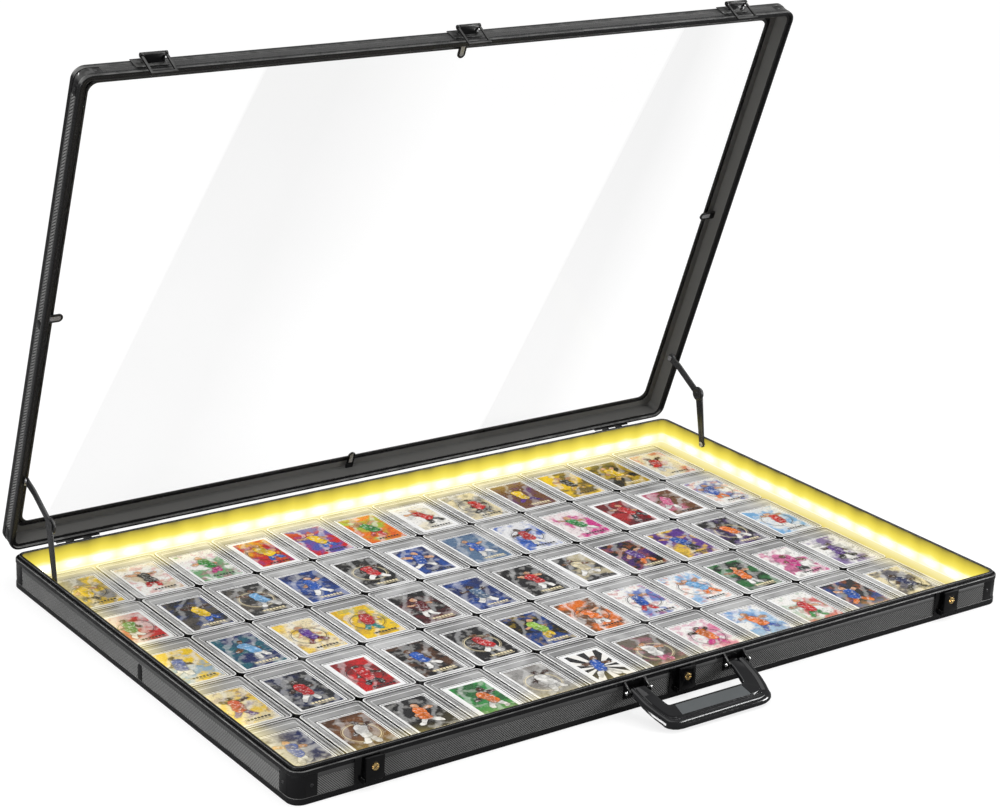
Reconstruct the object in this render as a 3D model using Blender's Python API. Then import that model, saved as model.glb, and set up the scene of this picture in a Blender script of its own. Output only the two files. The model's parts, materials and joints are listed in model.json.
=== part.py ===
"""Trading card display case: a shallow latched case with a glass lid and a lit tray.

The case stands on z = 0. X runs along the front, Y from the front to the back and
Z up. The case is drawn round the centre of its plan with the lid shut. The lid's
parent empty then turns it open about the hinge line, and at the end everything
moves along Y, so that the origin is under the middle of the open case's box.
"""

from math import asin, atan2, cos, hypot, pi, radians, sin, sqrt

import bmesh
import bpy
from mathutils import Matrix, Vector

mm = 0.001

# Driving dimensions of the case
case_width = 864 * mm
case_depth = 558 * mm
base_height = 33 * mm
lid_height = 22 * mm
corner_radius = 13 * mm
rim_thickness = 6.5 * mm
lid_open_angle = radians(71)

# Clearances and small common sizes
seat_gap = 0.3 * mm
pin_gap = 0.3 * mm
cut_overrun = 1 * mm
join_overlap = 0.4 * mm
merge_distance = 0.01 * mm

# Counts of sides on round pieces
corner_steps = 6
disc_sides = 20
pin_sides = 12

# Walls between the rails
rail_skin = 0.6 * mm
lining_thickness = 0.9 * mm

# Top rail of the base, with the raised tongue that the lid fits over
base_top_band = 4.8 * mm
base_top_web = 2.8 * mm
ledge_width = 1.6 * mm
groove_width = 2 * mm
groove_depth = 1.5 * mm
tongue_height = 2.5 * mm

# Bottom rail of the base
base_bottom_band = 7 * mm
base_bottom_web = 5 * mm
base_inner_band = 9 * mm
base_lip_reach = 14 * mm
base_lip_thickness = 1.2 * mm
opening_corner_radius = 10 * mm

# Floor of the base
bottom_panel_thickness = 2.4 * mm
tray_liner_thickness = 2 * mm

# Edge rail of the lid, which meets the base
tongue_side_play = 0.8 * mm
tongue_top_play = 0.4 * mm
lid_edge_band = 5.5 * mm
lid_edge_web = 1.2 * mm
lid_edge_inner_band = 2.4 * mm

# Glass rail of the lid
glass_rail_band = 6.8 * mm
glass_rail_web = 4.8 * mm
glass_flange_reach = 19 * mm
glass_flange_thickness = 1.5 * mm
glass_seal_space = 1.2 * mm
glass_thickness = 3 * mm

# Corner caps
cap_tab_length = 11 * mm

# Strip of light emitting diodes round the inside of the base
led_strip_height = 9 * mm
led_strip_thickness = 1.2 * mm
led_strip_lift = 2 * mm

# Clear card holders, in rows that run along X
holder_columns = 12
holder_rows = 5
holder_thickness = 4.8 * mm
holder_spacing = 0.8 * mm
holder_web_thickness = 0.8 * mm
holder_space_left = 14.2 * mm
holder_space_right = 32.2 * mm
holder_space_front = 30.4 * mm
holder_space_back = 20.4 * mm
card_thickness = 0.8 * mm
card_side_margin = 10.2 * mm
card_front_margin = 5.4 * mm
card_back_margin = 21.4 * mm
card_recess = 0.3 * mm

# Hinges at the back
hinge_end_distance = 78 * mm
hinge_width = 50 * mm
hinge_line_offset = 3.2 * mm
hinge_line_drop = 3 * mm
hinge_leaf_thickness = 1 * mm
hinge_leaf_height = 15 * mm
hinge_knuckle_radius = 2.4 * mm
hinge_pin_radius = 1.2 * mm
hinge_knuckle_count = 5
hinge_knuckle_space = 0.6 * mm
hinge_pin_end = 0.8 * mm

# Draw latches on the front: fixed plate and lever on the base
latch_end_distance = 79 * mm
latch_plate_left = 18 * mm
latch_plate_right = 12.5 * mm
latch_plate_thickness = 0.8 * mm
latch_plate_foot = 7 * mm
latch_plate_top_drop = 0.6 * mm
lever_width = 19 * mm
lever_pivot_out = 3.6 * mm
lever_pivot_up = 9.5 * mm
lever_knuckle_radius = 2.1 * mm
lever_pin_radius = 1.2 * mm
lever_top_drop = 1 * mm
lever_front = 6.5 * mm
lever_thickness = 2.3 * mm
lever_heel_top = 20 * mm
lever_heel_foot = 16.5 * mm
lever_ear_thickness = 1.2 * mm
lever_ear_top = 12.4 * mm
lever_ear_out = 5.6 * mm
key_up = 22.5 * mm
key_radius = 3.5 * mm
key_proud = 0.8 * mm
key_slot_width = 0.9 * mm
key_slot_depth = 0.6 * mm

# Draw latches on the front: bracket and loop on the lid
loop_plate_left = 21 * mm
loop_plate_foot = 6 * mm
loop_plate_top_drop = 0.6 * mm
loop_pivot_out = 8 * mm
loop_pivot_up = 15 * mm
loop_length = 24 * mm
loop_width = 28 * mm
loop_arm_width = 2.4 * mm
loop_bar_width = 2.6 * mm
loop_thickness = 1.8 * mm
loop_eye_radius = 2.6 * mm
loop_bar_seat = 0.65 * mm
loop_pin_radius = 1.2 * mm
loop_pin_end = 0.6 * mm
loop_bracket_radius = 2.6 * mm
loop_bracket_side_gap = 0.7 * mm
loop_bracket_foot = 4 * mm

# Carrying handle
handle_bracket_spacing = 61 * mm
handle_pivot_out = 7.2 * mm
handle_pivot_up = 23.5 * mm
handle_rest_tilt = radians(20)
handle_reach = 57 * mm
handle_arm_width = 21 * mm
handle_thickness = 6.4 * mm
handle_neck = 28 * mm
handle_shoulder = 46 * mm
handle_shoulder_draw = 6 * mm
handle_front_draw = 23 * mm
handle_grip_inset = 4 * mm
handle_grip_rise = 1.4 * mm
handle_grip_radius = 2 * mm
handle_edge_bevel = 1.6 * mm
handle_pin_radius = 1.8 * mm
handle_pin_end = 1.4 * mm
handle_cheek_thickness = 2 * mm
handle_cheek_gap = 0.5 * mm
handle_cheek_top = 32.4 * mm
handle_cheek_foot = 14 * mm
handle_cheek_nose_radius = 3.6 * mm
handle_plate_thickness = 0.8 * mm

# Folding stays between the base and the lid
stay_foot_back = 82.7 * mm
stay_foot_up = 27.2 * mm
stay_lid_back = 86 * mm
stay_lid_up = 6 * mm
stay_lower_length = 61.8 * mm
stay_upper_length = 61.6 * mm
stay_arm_thickness = 1.8 * mm
stay_foot_width = 8 * mm
stay_elbow_width = 12 * mm
stay_upper_width = 8.6 * mm
stay_knee_distance = 17 * mm
stay_knee_rise = 2.2 * mm
stay_disc_radius = 8.5 * mm
stay_boss_radius = 4 * mm
stay_pin_radius = 1.8 * mm
stay_head_radius = 3.4 * mm
stay_head_thickness = 0.7 * mm

# Power socket for the light strip, at the back
socket_end_distance = 132 * mm
socket_up = 18 * mm
socket_barrel_radius = 5 * mm
socket_flange_radius = 7 * mm
socket_flange_thickness = 1.4 * mm
socket_bore_radius = 2.8 * mm
socket_bore_depth = 5 * mm
socket_pin_radius = 0.8 * mm

# Heights and faces that several pieces share
half_width = case_width / 2
half_depth = case_depth / 2
tongue_inset = ledge_width + groove_width
panel_outer = rail_skin + seat_gap
lining_outer = rim_thickness - lining_thickness
panel_inner = lining_outer - seat_gap
inner_skin = rim_thickness + seat_gap
bottom_panel_low = base_lip_thickness + seat_gap
bottom_panel_top = bottom_panel_low + bottom_panel_thickness
tray_low = bottom_panel_top + seat_gap
tray_top = tray_low + tray_liner_thickness
holder_low = tray_top + seat_gap
holder_top = holder_low + holder_thickness
lid_leg_width = tongue_inset - tongue_side_play
lid_recess = tongue_height + tongue_top_play
lid_web_top = lid_recess + lid_edge_web
lid_inner_top = lid_web_top + lid_edge_inner_band
glass_flange_low = lid_height - glass_flange_thickness
glass_top = glass_flange_low - glass_seal_space
glass_low = glass_top - glass_thickness
hinge_y = half_depth + hinge_line_offset
hinge_z = base_height - hinge_line_drop
hinge_point = Vector((0, hinge_y, hinge_z))

# Places along the case, from its ends and its back
holder_pitch_x = (
    case_width - holder_space_left - holder_space_right + holder_spacing
) / holder_columns
holder_pitch_y = (
    case_depth - holder_space_front - holder_space_back + holder_spacing
) / holder_rows
holder_width = holder_pitch_x - holder_spacing
holder_length = holder_pitch_y - holder_spacing
holder_first_x = holder_space_left + holder_width / 2 - half_width
holder_first_y = half_depth - holder_space_back - holder_length / 2
card_width = holder_width - 2 * card_side_margin
card_length = holder_length - card_front_margin - card_back_margin
hinge_spacing = half_width - hinge_end_distance
latch_spacing = half_width - latch_end_distance
socket_x = half_width - socket_end_distance
stay_foot_y = half_depth - stay_foot_back
stay_lid_y = half_depth - stay_lid_back

sides = ("front", "right", "back", "left")
left_and_right = (("left", -1), ("right", 1))
materials = {}


def clear_scene():
    """Remove every object of the open file."""
    for scene_object in list(bpy.data.objects):
        bpy.data.objects.remove(scene_object, do_unlink=True)


def define_material(name, colour, roughness, metallic, alpha=1.0):
    """Make one Principled material and keep it by name."""
    material = bpy.data.materials.new(name)
    material.use_nodes = True
    shader = material.node_tree.nodes["Principled BSDF"]
    shader.inputs["Base Color"].default_value = (*colour, 1.0)
    shader.inputs["Roughness"].default_value = roughness
    shader.inputs["Metallic"].default_value = metallic
    shader.inputs["Alpha"].default_value = alpha
    material.diffuse_color = (*colour, alpha)
    materials[name] = material


def define_materials():
    """Set up the finishes that the pieces share."""
    define_material("black rail", (0.07, 0.07, 0.075), 0.42, 0.6)
    define_material("black panel", (0.05, 0.05, 0.055), 0.6, 0.1)
    define_material("glossy black cap", (0.02, 0.02, 0.022), 0.2, 0.2)
    define_material("black hardware", (0.03, 0.03, 0.033), 0.35, 0.7)
    define_material("grey steel", (0.25, 0.25, 0.26), 0.4, 0.9)
    define_material("brass", (0.8, 0.6, 0.25), 0.25, 1.0)
    define_material("handle plastic", (0.09, 0.09, 0.1), 0.35, 0.0)
    define_material("warm light strip", (0.98, 0.9, 0.6), 0.5, 0.0)
    define_material("clear holder", (0.85, 0.87, 0.9), 0.15, 0.0, 0.5)
    define_material("tray felt", (0.03, 0.03, 0.03), 0.95, 0.0)
    define_material("glass", (0.9, 0.95, 0.95), 0.05, 0.0, 0.2)


def close_mesh(shape):
    """Turn every face of a closed shape outward."""
    bmesh.ops.recalc_face_normals(shape, faces=shape.faces)
    if shape.calc_volume(signed=True) < 0:
        bmesh.ops.reverse_faces(shape, faces=shape.faces)
    return shape


def prism(shape, outline, start, end, frame):
    """Add a straight prism: outline points (u, v) run from w = start to w = end."""
    low = [shape.verts.new(frame @ Vector((u, v, start))) for u, v in outline]
    high = [shape.verts.new(frame @ Vector((u, v, end))) for u, v in outline]
    shape.faces.new(list(reversed(low)))
    shape.faces.new(high)
    count = len(outline)
    for index in range(count):
        following = (index + 1) % count
        shape.faces.new((low[index], low[following], high[following], high[index]))
    return shape


def box(shape, x_low, x_high, y_low, y_high, z_low, z_high):
    """Add a box between two corners."""
    outline = ((x_low, y_low), (x_high, y_low), (x_high, y_high), (x_low, y_high))
    return prism(shape, outline, z_low, z_high, Matrix.Identity(4))


def join_loops(shape, loops):
    """Add the faces between loops of vertices, from each to the next and round again."""
    count = len(loops[0])
    for number, loop in enumerate(loops):
        other = loops[(number + 1) % len(loops)]
        for index in range(count):
            following = (index + 1) % count
            shape.faces.new((loop[index], loop[following], other[following], other[index]))


def turned(shape, profile, frame, sides):
    """Add a solid turned about w from (radius, w) points that start and end at the axis."""
    rings = []
    for radius, height in profile:
        if radius == 0:
            rings.append([shape.verts.new(frame @ Vector((0, 0, height)))])
            continue
        ring = []
        for step in range(sides):
            angle = 2 * pi * step / sides
            point = Vector((radius * cos(angle), radius * sin(angle), height))
            ring.append(shape.verts.new(frame @ point))
        rings.append(ring)
    for low, high in zip(rings, rings[1:]):
        for step in range(sides):
            following = (step + 1) % sides
            corners = [low[step % len(low)], low[following % len(low)]]
            corners += [high[following % len(high)], high[step % len(high)]]
            unique = list(dict.fromkeys(corners))
            shape.faces.new(unique)
    return shape


def rod(shape, radius, start, end, frame, sides):
    """Add a plain round rod along w."""
    return turned(shape, ((0, start), (radius, start), (radius, end), (0, end)), frame, sides)


def arc(centre_u, centre_v, radius, first, last, steps):
    """Give the points of an arc between two angles."""
    points = []
    for step in range(steps + 1):
        angle = first + (last - first) * step / steps
        points.append((centre_u + radius * cos(angle), centre_v + radius * sin(angle)))
    return points


def rounded_rectangle(inset):
    """Give the plan outline a fixed inset inside the outer face."""
    radius = corner_radius - inset if inset <= corner_radius else opening_corner_radius
    points = []
    for quarter in range(4):
        first = quarter * pi / 2
        sign_x = 1 if quarter in (0, 3) else -1
        sign_y = 1 if quarter in (0, 1) else -1
        centre_x = sign_x * (half_width - inset - radius)
        centre_y = sign_y * (half_depth - inset - radius)
        points += arc(centre_x, centre_y, radius, first, first + pi / 2, corner_steps)
    return points


def side_frame(side):
    """Map (inward, up, along) of one side of the case to the case's own axes."""
    turns = {"front": 0, "right": 1, "back": 2, "left": 3}[side]
    reach = half_depth if turns % 2 == 0 else half_width
    to_front = Matrix(((0, 0, 1, 0), (1, 0, 0, -reach), (0, 1, 0, 0), (0, 0, 0, 1)))
    return Matrix.Rotation(turns * pi / 2, 4, "Z") @ to_front


def side_half_length(side):
    """Give half the length of one side, from corner to corner."""
    return half_width if side in ("front", "back") else half_depth


def axis_frame(origin, direction):
    """Map w to a direction through a point, for rods and turned pieces."""
    turn = direction.to_track_quat("Z", "Y").to_matrix().to_4x4()
    return Matrix.Translation(origin) @ turn


def along_x(x, y, z):
    """Give a frame whose w runs along +X through a point."""
    return axis_frame(Vector((x, y, z)), Vector((1, 0, 0)))


def along_y(x, y, z):
    """Give a frame whose w runs along +Y through a point."""
    return axis_frame(Vector((x, y, z)), Vector((0, 1, 0)))


def side_plane(x):
    """Map outline points (y, z) and depth along X, starting at a plane of constant x."""
    return Matrix(((0, 0, 1, x), (1, 0, 0, 0), (0, 1, 0, 0), (0, 0, 0, 1)))


def frame_ring(profile):
    """Make a closed frame round the case from one cross-section of (inward, up) points."""
    shape = bmesh.new()
    loops = []
    for inward, up in profile:
        loops.append([shape.verts.new((x, y, up)) for x, y in rounded_rectangle(inward)])
    join_loops(shape, loops)
    bmesh.ops.remove_doubles(shape, verts=shape.verts, dist=merge_distance)
    return shape


def wall_profile(heights):
    """Cross-section of a wall panel that stands in the slots of two frames."""
    return (
        (panel_outer, heights["low web"] + seat_gap),
        (panel_inner, heights["low web"] + seat_gap),
        (panel_inner, heights["low inner"] + seat_gap),
        (rim_thickness, heights["low inner"] + seat_gap),
        (rim_thickness, heights["high inner"] - seat_gap),
        (panel_inner, heights["high inner"] - seat_gap),
        (panel_inner, heights["high web"] - seat_gap),
        (panel_outer, heights["high web"] - seat_gap),
    )


def wall_panel(side, heights):
    """Make the wall panel of one side, between its two corner caps."""
    end = side_half_length(side) - corner_radius - seat_gap
    return prism(bmesh.new(), wall_profile(heights), -end, end, side_frame(side))


def evaluated(shape, cutter, operation):
    """Join or cut two shapes with a Boolean and give the result as one shape."""
    holders = []
    for source in (shape, cutter):
        mesh = bpy.data.meshes.new("boolean shape")
        close_mesh(source).to_mesh(mesh)
        source.free()
        holder = bpy.data.objects.new("boolean shape", mesh)
        bpy.context.scene.collection.objects.link(holder)
        holders.append(holder)
    modifier = holders[0].modifiers.new("boolean", "BOOLEAN")
    modifier.operation = operation
    modifier.solver = "EXACT"
    modifier.object = holders[1]
    graph = bpy.context.evaluated_depsgraph_get()
    result = bmesh.new()
    result.from_object(holders[0], graph)
    for holder in holders:
        mesh = holder.data
        bpy.data.objects.remove(holder, do_unlink=True)
        bpy.data.meshes.remove(mesh)
    return result


def joined(first, *others):
    """Unite shapes into one closed body."""
    for other in others:
        first = evaluated(first, other, "UNION")
    return first


def cut(shape, *cutters):
    """Take shapes away from a body."""
    for cutter in cutters:
        shape = evaluated(shape, cutter, "DIFFERENCE")
    return shape


def gather(shapes):
    """Put separate bodies together in one mesh, to cut them all at once."""
    whole = bmesh.new()
    for shape in shapes:
        mesh = bpy.data.meshes.new("gathered shape")
        close_mesh(shape).to_mesh(mesh)
        shape.free()
        whole.from_mesh(mesh)
        bpy.data.meshes.remove(mesh)
    return whole


def shifted(shape, x, y=0, z=0):
    """Give a moved copy of a shape."""
    copy = shape.copy()
    bmesh.ops.translate(copy, verts=copy.verts, vec=Vector((x, y, z)))
    return copy


def reflected(shape, sign_x, sign_y=1):
    """Give a copy of a shape in another quarter of the case."""
    copy = shape.copy()
    for vertex in copy.verts:
        vertex.co.x *= sign_x
        vertex.co.y *= sign_y
    return copy


def add_piece(name, shape, material, parent=None, origin=Vector(), smooth=False):
    """Make the named object of one sub-part, with its origin where its parent is."""
    close_mesh(shape)
    bmesh.ops.translate(shape, verts=shape.verts, vec=-origin)
    mesh = bpy.data.meshes.new(name)
    shape.to_mesh(mesh)
    shape.free()
    mesh.materials.append(materials[material])
    if smooth:
        mesh.shade_smooth()
        mesh.set_sharp_from_angle(angle=radians(35))
    piece = bpy.data.objects.new(name, mesh)
    bpy.context.scene.collection.objects.link(piece)
    piece.parent = parent
    return piece


def add_axis(name, point, turn, parent=None, parent_point=Vector()):
    """Make the empty on a joint's axis, turned about X or Y."""
    empty = bpy.data.objects.new(name, None)
    bpy.context.scene.collection.objects.link(empty)
    empty.parent = parent
    empty.location = point - parent_point
    empty.rotation_euler = turn
    return empty


def base_top_profile():
    """Cross-section of the base's top rail as (inward, up) points."""
    low = base_height - base_top_band
    slot = base_height - base_top_web
    tongue_top = base_height + tongue_height
    groove_floor = base_height - groove_depth
    return (
        (0, low),
        (rail_skin, low),
        (rail_skin, slot),
        (lining_outer, slot),
        (lining_outer, low),
        (rim_thickness, low),
        (rim_thickness, tongue_top),
        (tongue_inset, tongue_top),
        (tongue_inset, groove_floor),
        (ledge_width, groove_floor),
        (ledge_width, base_height),
        (0, base_height),
    )


def base_bottom_profile():
    """Cross-section of the base's bottom rail, with the lip under the floor."""
    return (
        (0, 0),
        (corner_radius, 0),
        (base_lip_reach, 0),
        (base_lip_reach, base_lip_thickness),
        (corner_radius, base_lip_thickness),
        (rim_thickness, base_lip_thickness),
        (rim_thickness, base_inner_band),
        (lining_outer, base_inner_band),
        (lining_outer, base_bottom_web),
        (rail_skin, base_bottom_web),
        (rail_skin, base_bottom_band),
        (0, base_bottom_band),
    )


def lid_edge_profile():
    """Cross-section of the lid's edge rail, which closes over the base's tongue."""
    seam = base_height + seat_gap
    recess = base_height + lid_recess
    web = base_height + lid_web_top
    return (
        (0, seam),
        (lid_leg_width, seam),
        (lid_leg_width, recess),
        (rim_thickness, recess),
        (rim_thickness, base_height + lid_inner_top),
        (lining_outer, base_height + lid_inner_top),
        (lining_outer, web),
        (rail_skin, web),
        (rail_skin, base_height + lid_edge_band),
        (0, base_height + lid_edge_band),
    )


def glass_rail_profile():
    """Cross-section of the lid's top rail, whose flange holds the glass."""
    top = base_height + lid_height
    low = top - glass_rail_band
    slot = top - glass_rail_web
    flange = base_height + glass_flange_low
    return (
        (0, low),
        (rail_skin, low),
        (rail_skin, slot),
        (lining_outer, slot),
        (lining_outer, low),
        (rim_thickness, low),
        (rim_thickness, flange),
        (corner_radius, flange),
        (glass_flange_reach, flange),
        (glass_flange_reach, top),
        (corner_radius, top),
        (0, top),
    )


def cap_profile(heights):
    """Cross-section of a corner cap: a wall that comes out flush between the bands."""
    outside = (
        (panel_outer, heights["high band"] - seat_gap),
        (0, heights["high band"] - seat_gap),
        (0, heights["low band"] + seat_gap),
        (panel_outer, heights["low band"] + seat_gap),
    )
    return wall_profile(heights) + outside


def corner_cap(heights):
    """Make the cap of the front right corner: a quarter post with a tab on each side."""
    centre_x = half_width - corner_radius
    centre_y = corner_radius - half_depth
    profile = cap_profile(heights)
    post = bmesh.new()
    slices = []
    for step in range(corner_steps + 1):
        angle = -pi / 2 + pi / 2 * step / corner_steps
        slice_points = []
        for inward, up in profile:
            radius = corner_radius - inward
            point = (centre_x + radius * cos(angle), centre_y + radius * sin(angle), up)
            slice_points.append(post.verts.new(point))
        slices.append(slice_points)
    post.faces.new(slices[0])
    post.faces.new(slices[-1])
    count = len(profile)
    for near, far in zip(slices, slices[1:]):
        for index in range(count):
            following = (index + 1) % count
            post.faces.new((near[index], near[following], far[following], far[index]))
    tab_low = heights["low band"] + seat_gap
    tab_high = heights["high band"] - seat_gap
    outline = ((0, tab_low), (rail_skin, tab_low), (rail_skin, tab_high), (0, tab_high))
    front_end = half_width - corner_radius
    front_tab = prism(
        bmesh.new(), outline, front_end - cap_tab_length, front_end + join_overlap,
        side_frame("front"),
    )
    side_end = corner_radius - half_depth
    side_tab = prism(
        bmesh.new(), outline, side_end - join_overlap, side_end + cap_tab_length,
        side_frame("right"),
    )
    return joined(post, front_tab, side_tab)


def add_corner_caps(prefix, heights, parent=None, origin=Vector()):
    """Add the four corner caps of the base or of the lid."""
    cap = corner_cap(heights)
    for place_y, sign_y in (("front", 1), ("back", -1)):
        for place_x, sign_x in (("left", -1), ("right", 1)):
            name = prefix + "_corner_cap_" + place_y + "_" + place_x
            shape = reflected(cap, sign_x, sign_y)
            add_piece(name, shape, "glossy black cap", parent, origin, smooth=True)


def build_base_shell():
    """Model the frames, walls, corners and floor of the base."""
    add_piece("base_top_frame", frame_ring(base_top_profile()), "black rail", smooth=True)
    add_piece(
        "base_bottom_frame", frame_ring(base_bottom_profile()), "black rail", smooth=True,
    )
    heights = {
        "low band": base_bottom_band,
        "low web": base_bottom_web,
        "low inner": base_inner_band,
        "high inner": base_height - base_top_band,
        "high band": base_height - base_top_band,
        "high web": base_height - base_top_web,
    }
    for side in sides:
        wall = wall_panel(side, heights)
        if side == "back":
            wall = cut(wall, socket_hole())
        add_piece("base_wall_" + side, wall, "black panel")
    add_corner_caps("base", heights)
    floor = prism(
        bmesh.new(), rounded_rectangle(inner_skin), bottom_panel_low, bottom_panel_top,
        Matrix.Identity(4),
    )
    add_piece("bottom_panel", floor, "black panel")
    liner = prism(
        bmesh.new(), rounded_rectangle(inner_skin), tray_low, tray_top, Matrix.Identity(4),
    )
    add_piece("tray_liner", liner, "tray felt")


def build_light():
    """Model the light strip round the inside and its power socket."""
    led_low = tray_top + led_strip_lift
    led_high = led_low + led_strip_height
    led_inner = inner_skin + led_strip_thickness
    strip = frame_ring((
        (inner_skin, led_low), (led_inner, led_low), (led_inner, led_high),
        (inner_skin, led_high),
    ))
    add_piece("led_strip", strip, "warm light strip")

    outer_face = -seat_gap
    flange_face = outer_face - socket_flange_thickness
    bore_end = flange_face + socket_bore_depth
    profile = (
        (0, bore_end),
        (socket_pin_radius, bore_end),
        (socket_pin_radius, outer_face),
        (0, outer_face),
    )
    pin = turned(bmesh.new(), profile, socket_frame(), pin_sides)
    profile = (
        (0, flange_face),
        (socket_flange_radius, flange_face),
        (socket_flange_radius, outer_face),
        (socket_barrel_radius, outer_face),
        (socket_barrel_radius, rim_thickness),
        (0, rim_thickness),
    )
    body = turned(bmesh.new(), profile, socket_frame(), disc_sides)
    bore = rod(
        bmesh.new(), socket_bore_radius, flange_face - cut_overrun, bore_end, socket_frame(),
        disc_sides,
    )
    body = cut(body, bore)
    pin = shifted(pin, 0, -join_overlap)
    add_piece("power_socket", joined(body, pin), "black hardware", smooth=True)


def socket_frame():
    """Map w to the inward direction at the power socket on the back wall."""
    origin = Vector((socket_x, half_depth, socket_up))
    return axis_frame(origin, Vector((0, -1, 0)))


def socket_hole():
    """Make the cutter for the socket's hole through the back wall."""
    return rod(
        bmesh.new(), socket_barrel_radius + seat_gap, -cut_overrun,
        rim_thickness + cut_overrun, socket_frame(), disc_sides,
    )


def holder_centres(row):
    """Give the plan centres of the holders in one row, counted from the back."""
    y = holder_first_y - row * holder_pitch_y
    return [
        (holder_first_x + column * holder_pitch_x, y) for column in range(holder_columns)
    ]


def holder_pocket(x, y):
    """Make the cutter for the pocket in which one holder's card lies."""
    left = x - card_width / 2 - seat_gap
    right = x + card_width / 2 + seat_gap
    front = y - holder_length / 2 + card_front_margin - seat_gap
    back = front + card_length + 2 * seat_gap
    floor = holder_top - card_recess - card_thickness - seat_gap
    return box(bmesh.new(), left, right, front, back, floor, holder_top + cut_overrun)


def holder_row(row):
    """Make one row of holders, which hang together at their feet."""
    centres = holder_centres(row)
    y = centres[0][1]
    web_top = holder_low + holder_web_thickness
    outline = [(centres[0][0] - holder_width / 2, holder_low)]
    outline.append((centres[-1][0] + holder_width / 2, holder_low))
    for x, _ in reversed(centres):
        right = x + holder_width / 2
        left = x - holder_width / 2
        if x != centres[-1][0]:
            outline.append((right, web_top))
        outline += [(right, holder_top), (left, holder_top)]
        if x != centres[0][0]:
            outline.append((left, web_top))
    to_row = Matrix(((1, 0, 0, 0), (0, 0, 1, 0), (0, 1, 0, 0), (0, 0, 0, 1)))
    front = y - holder_length / 2
    strip = prism(bmesh.new(), outline, front, front + holder_length, to_row)
    pockets = gather([holder_pocket(x, y) for x, y in centres])
    return cut(strip, pockets)


def build_holders():
    """Model the rows of clear card holders, counted from the back."""
    for row in range(holder_rows):
        add_piece("card_holders_row_" + str(row + 1), holder_row(row), "clear holder")


def knuckle_spans(lid_side):
    """Give the X spans of a hinge's knuckles on one leaf, as distances from its middle."""
    pitch = hinge_width / hinge_knuckle_count
    spans = []
    for number in range(hinge_knuckle_count):
        if (number % 2 == 1) == lid_side:
            start = -hinge_width / 2 + number * pitch
            spans.append((start + hinge_knuckle_space / 2, start + pitch - hinge_knuckle_space / 2))
    return spans


def hinge_leaf(lid_side):
    """Make the right hinge's leaf on the base or on the lid, with its knuckles."""
    face = half_depth + seat_gap
    back = face + hinge_leaf_thickness
    clear_of_pin = hinge_knuckle_radius + seat_gap
    left = hinge_spacing - hinge_width / 2
    right = hinge_spacing + hinge_width / 2
    if lid_side:
        low = hinge_z + clear_of_pin
        plate = box(bmesh.new(), left, right, face, back, low, low + hinge_leaf_height)
    else:
        high = hinge_z - clear_of_pin
        plate = box(bmesh.new(), left, right, face, back, high - hinge_leaf_height, high)
    pieces = []
    for start, end in knuckle_spans(lid_side):
        frame = along_x(hinge_spacing, hinge_y, hinge_z)
        pieces.append(rod(bmesh.new(), hinge_knuckle_radius, start, end, frame, disc_sides))
        web_low = hinge_z if lid_side else hinge_z - clear_of_pin - join_overlap
        web_high = hinge_z + clear_of_pin + join_overlap if lid_side else hinge_z
        pieces.append(box(
            bmesh.new(), hinge_spacing + start, hinge_spacing + end, face, back, web_low,
            web_high,
        ))
    leaf = joined(plate, *pieces)
    middle = along_x(hinge_spacing, hinge_y, hinge_z)
    if lid_side:
        hole = hinge_pin_radius + pin_gap
        bore = rod(bmesh.new(), hole, -hinge_width, hinge_width, middle, disc_sides)
        return cut(leaf, bore)
    reach = hinge_width / 2 + hinge_pin_end
    pin = rod(bmesh.new(), hinge_pin_radius, -reach, reach, middle, pin_sides)
    return joined(leaf, pin)


def build_hinges(lid_axis):
    """Model the two hinges at the back: the base leaves hold the pins."""
    base_leaf = hinge_leaf(False)
    lid_leaf = hinge_leaf(True)
    for place, sign in left_and_right:
        add_piece(
            "hinge_base_leaf_" + place, reflected(base_leaf, sign), "black hardware",
            smooth=True,
        )
        add_piece(
            "hinge_lid_leaf_" + place, reflected(lid_leaf, sign), "black hardware", lid_axis,
            hinge_point, smooth=True,
        )


def front_face(out):
    """Give the y of a plane that stands a distance out of the front."""
    return -half_depth - out


def latch_plate():
    """Make the fixed plate of the middle latch, with ears and the lever's pin."""
    back = front_face(seat_gap)
    face = front_face(seat_gap + latch_plate_thickness)
    plate = box(
        bmesh.new(), -latch_plate_left, latch_plate_right, face, back, latch_plate_foot,
        base_height - latch_plate_top_drop,
    )
    ears = []
    ear_start = lever_width / 2 + pin_gap + seat_gap
    for sign in (-1, 1):
        inner = sign * ear_start
        outer = sign * (ear_start + lever_ear_thickness)
        ears.append(box(
            bmesh.new(), min(inner, outer), max(inner, outer), front_face(lever_ear_out),
            face + join_overlap, latch_plate_foot, lever_ear_top,
        ))
    reach = ear_start + lever_ear_thickness / 2
    pin = rod(
        bmesh.new(), lever_pin_radius, -reach, reach,
        along_x(0, front_face(lever_pivot_out), lever_pivot_up), pin_sides,
    )
    return joined(plate, *ears, pin)


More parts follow.
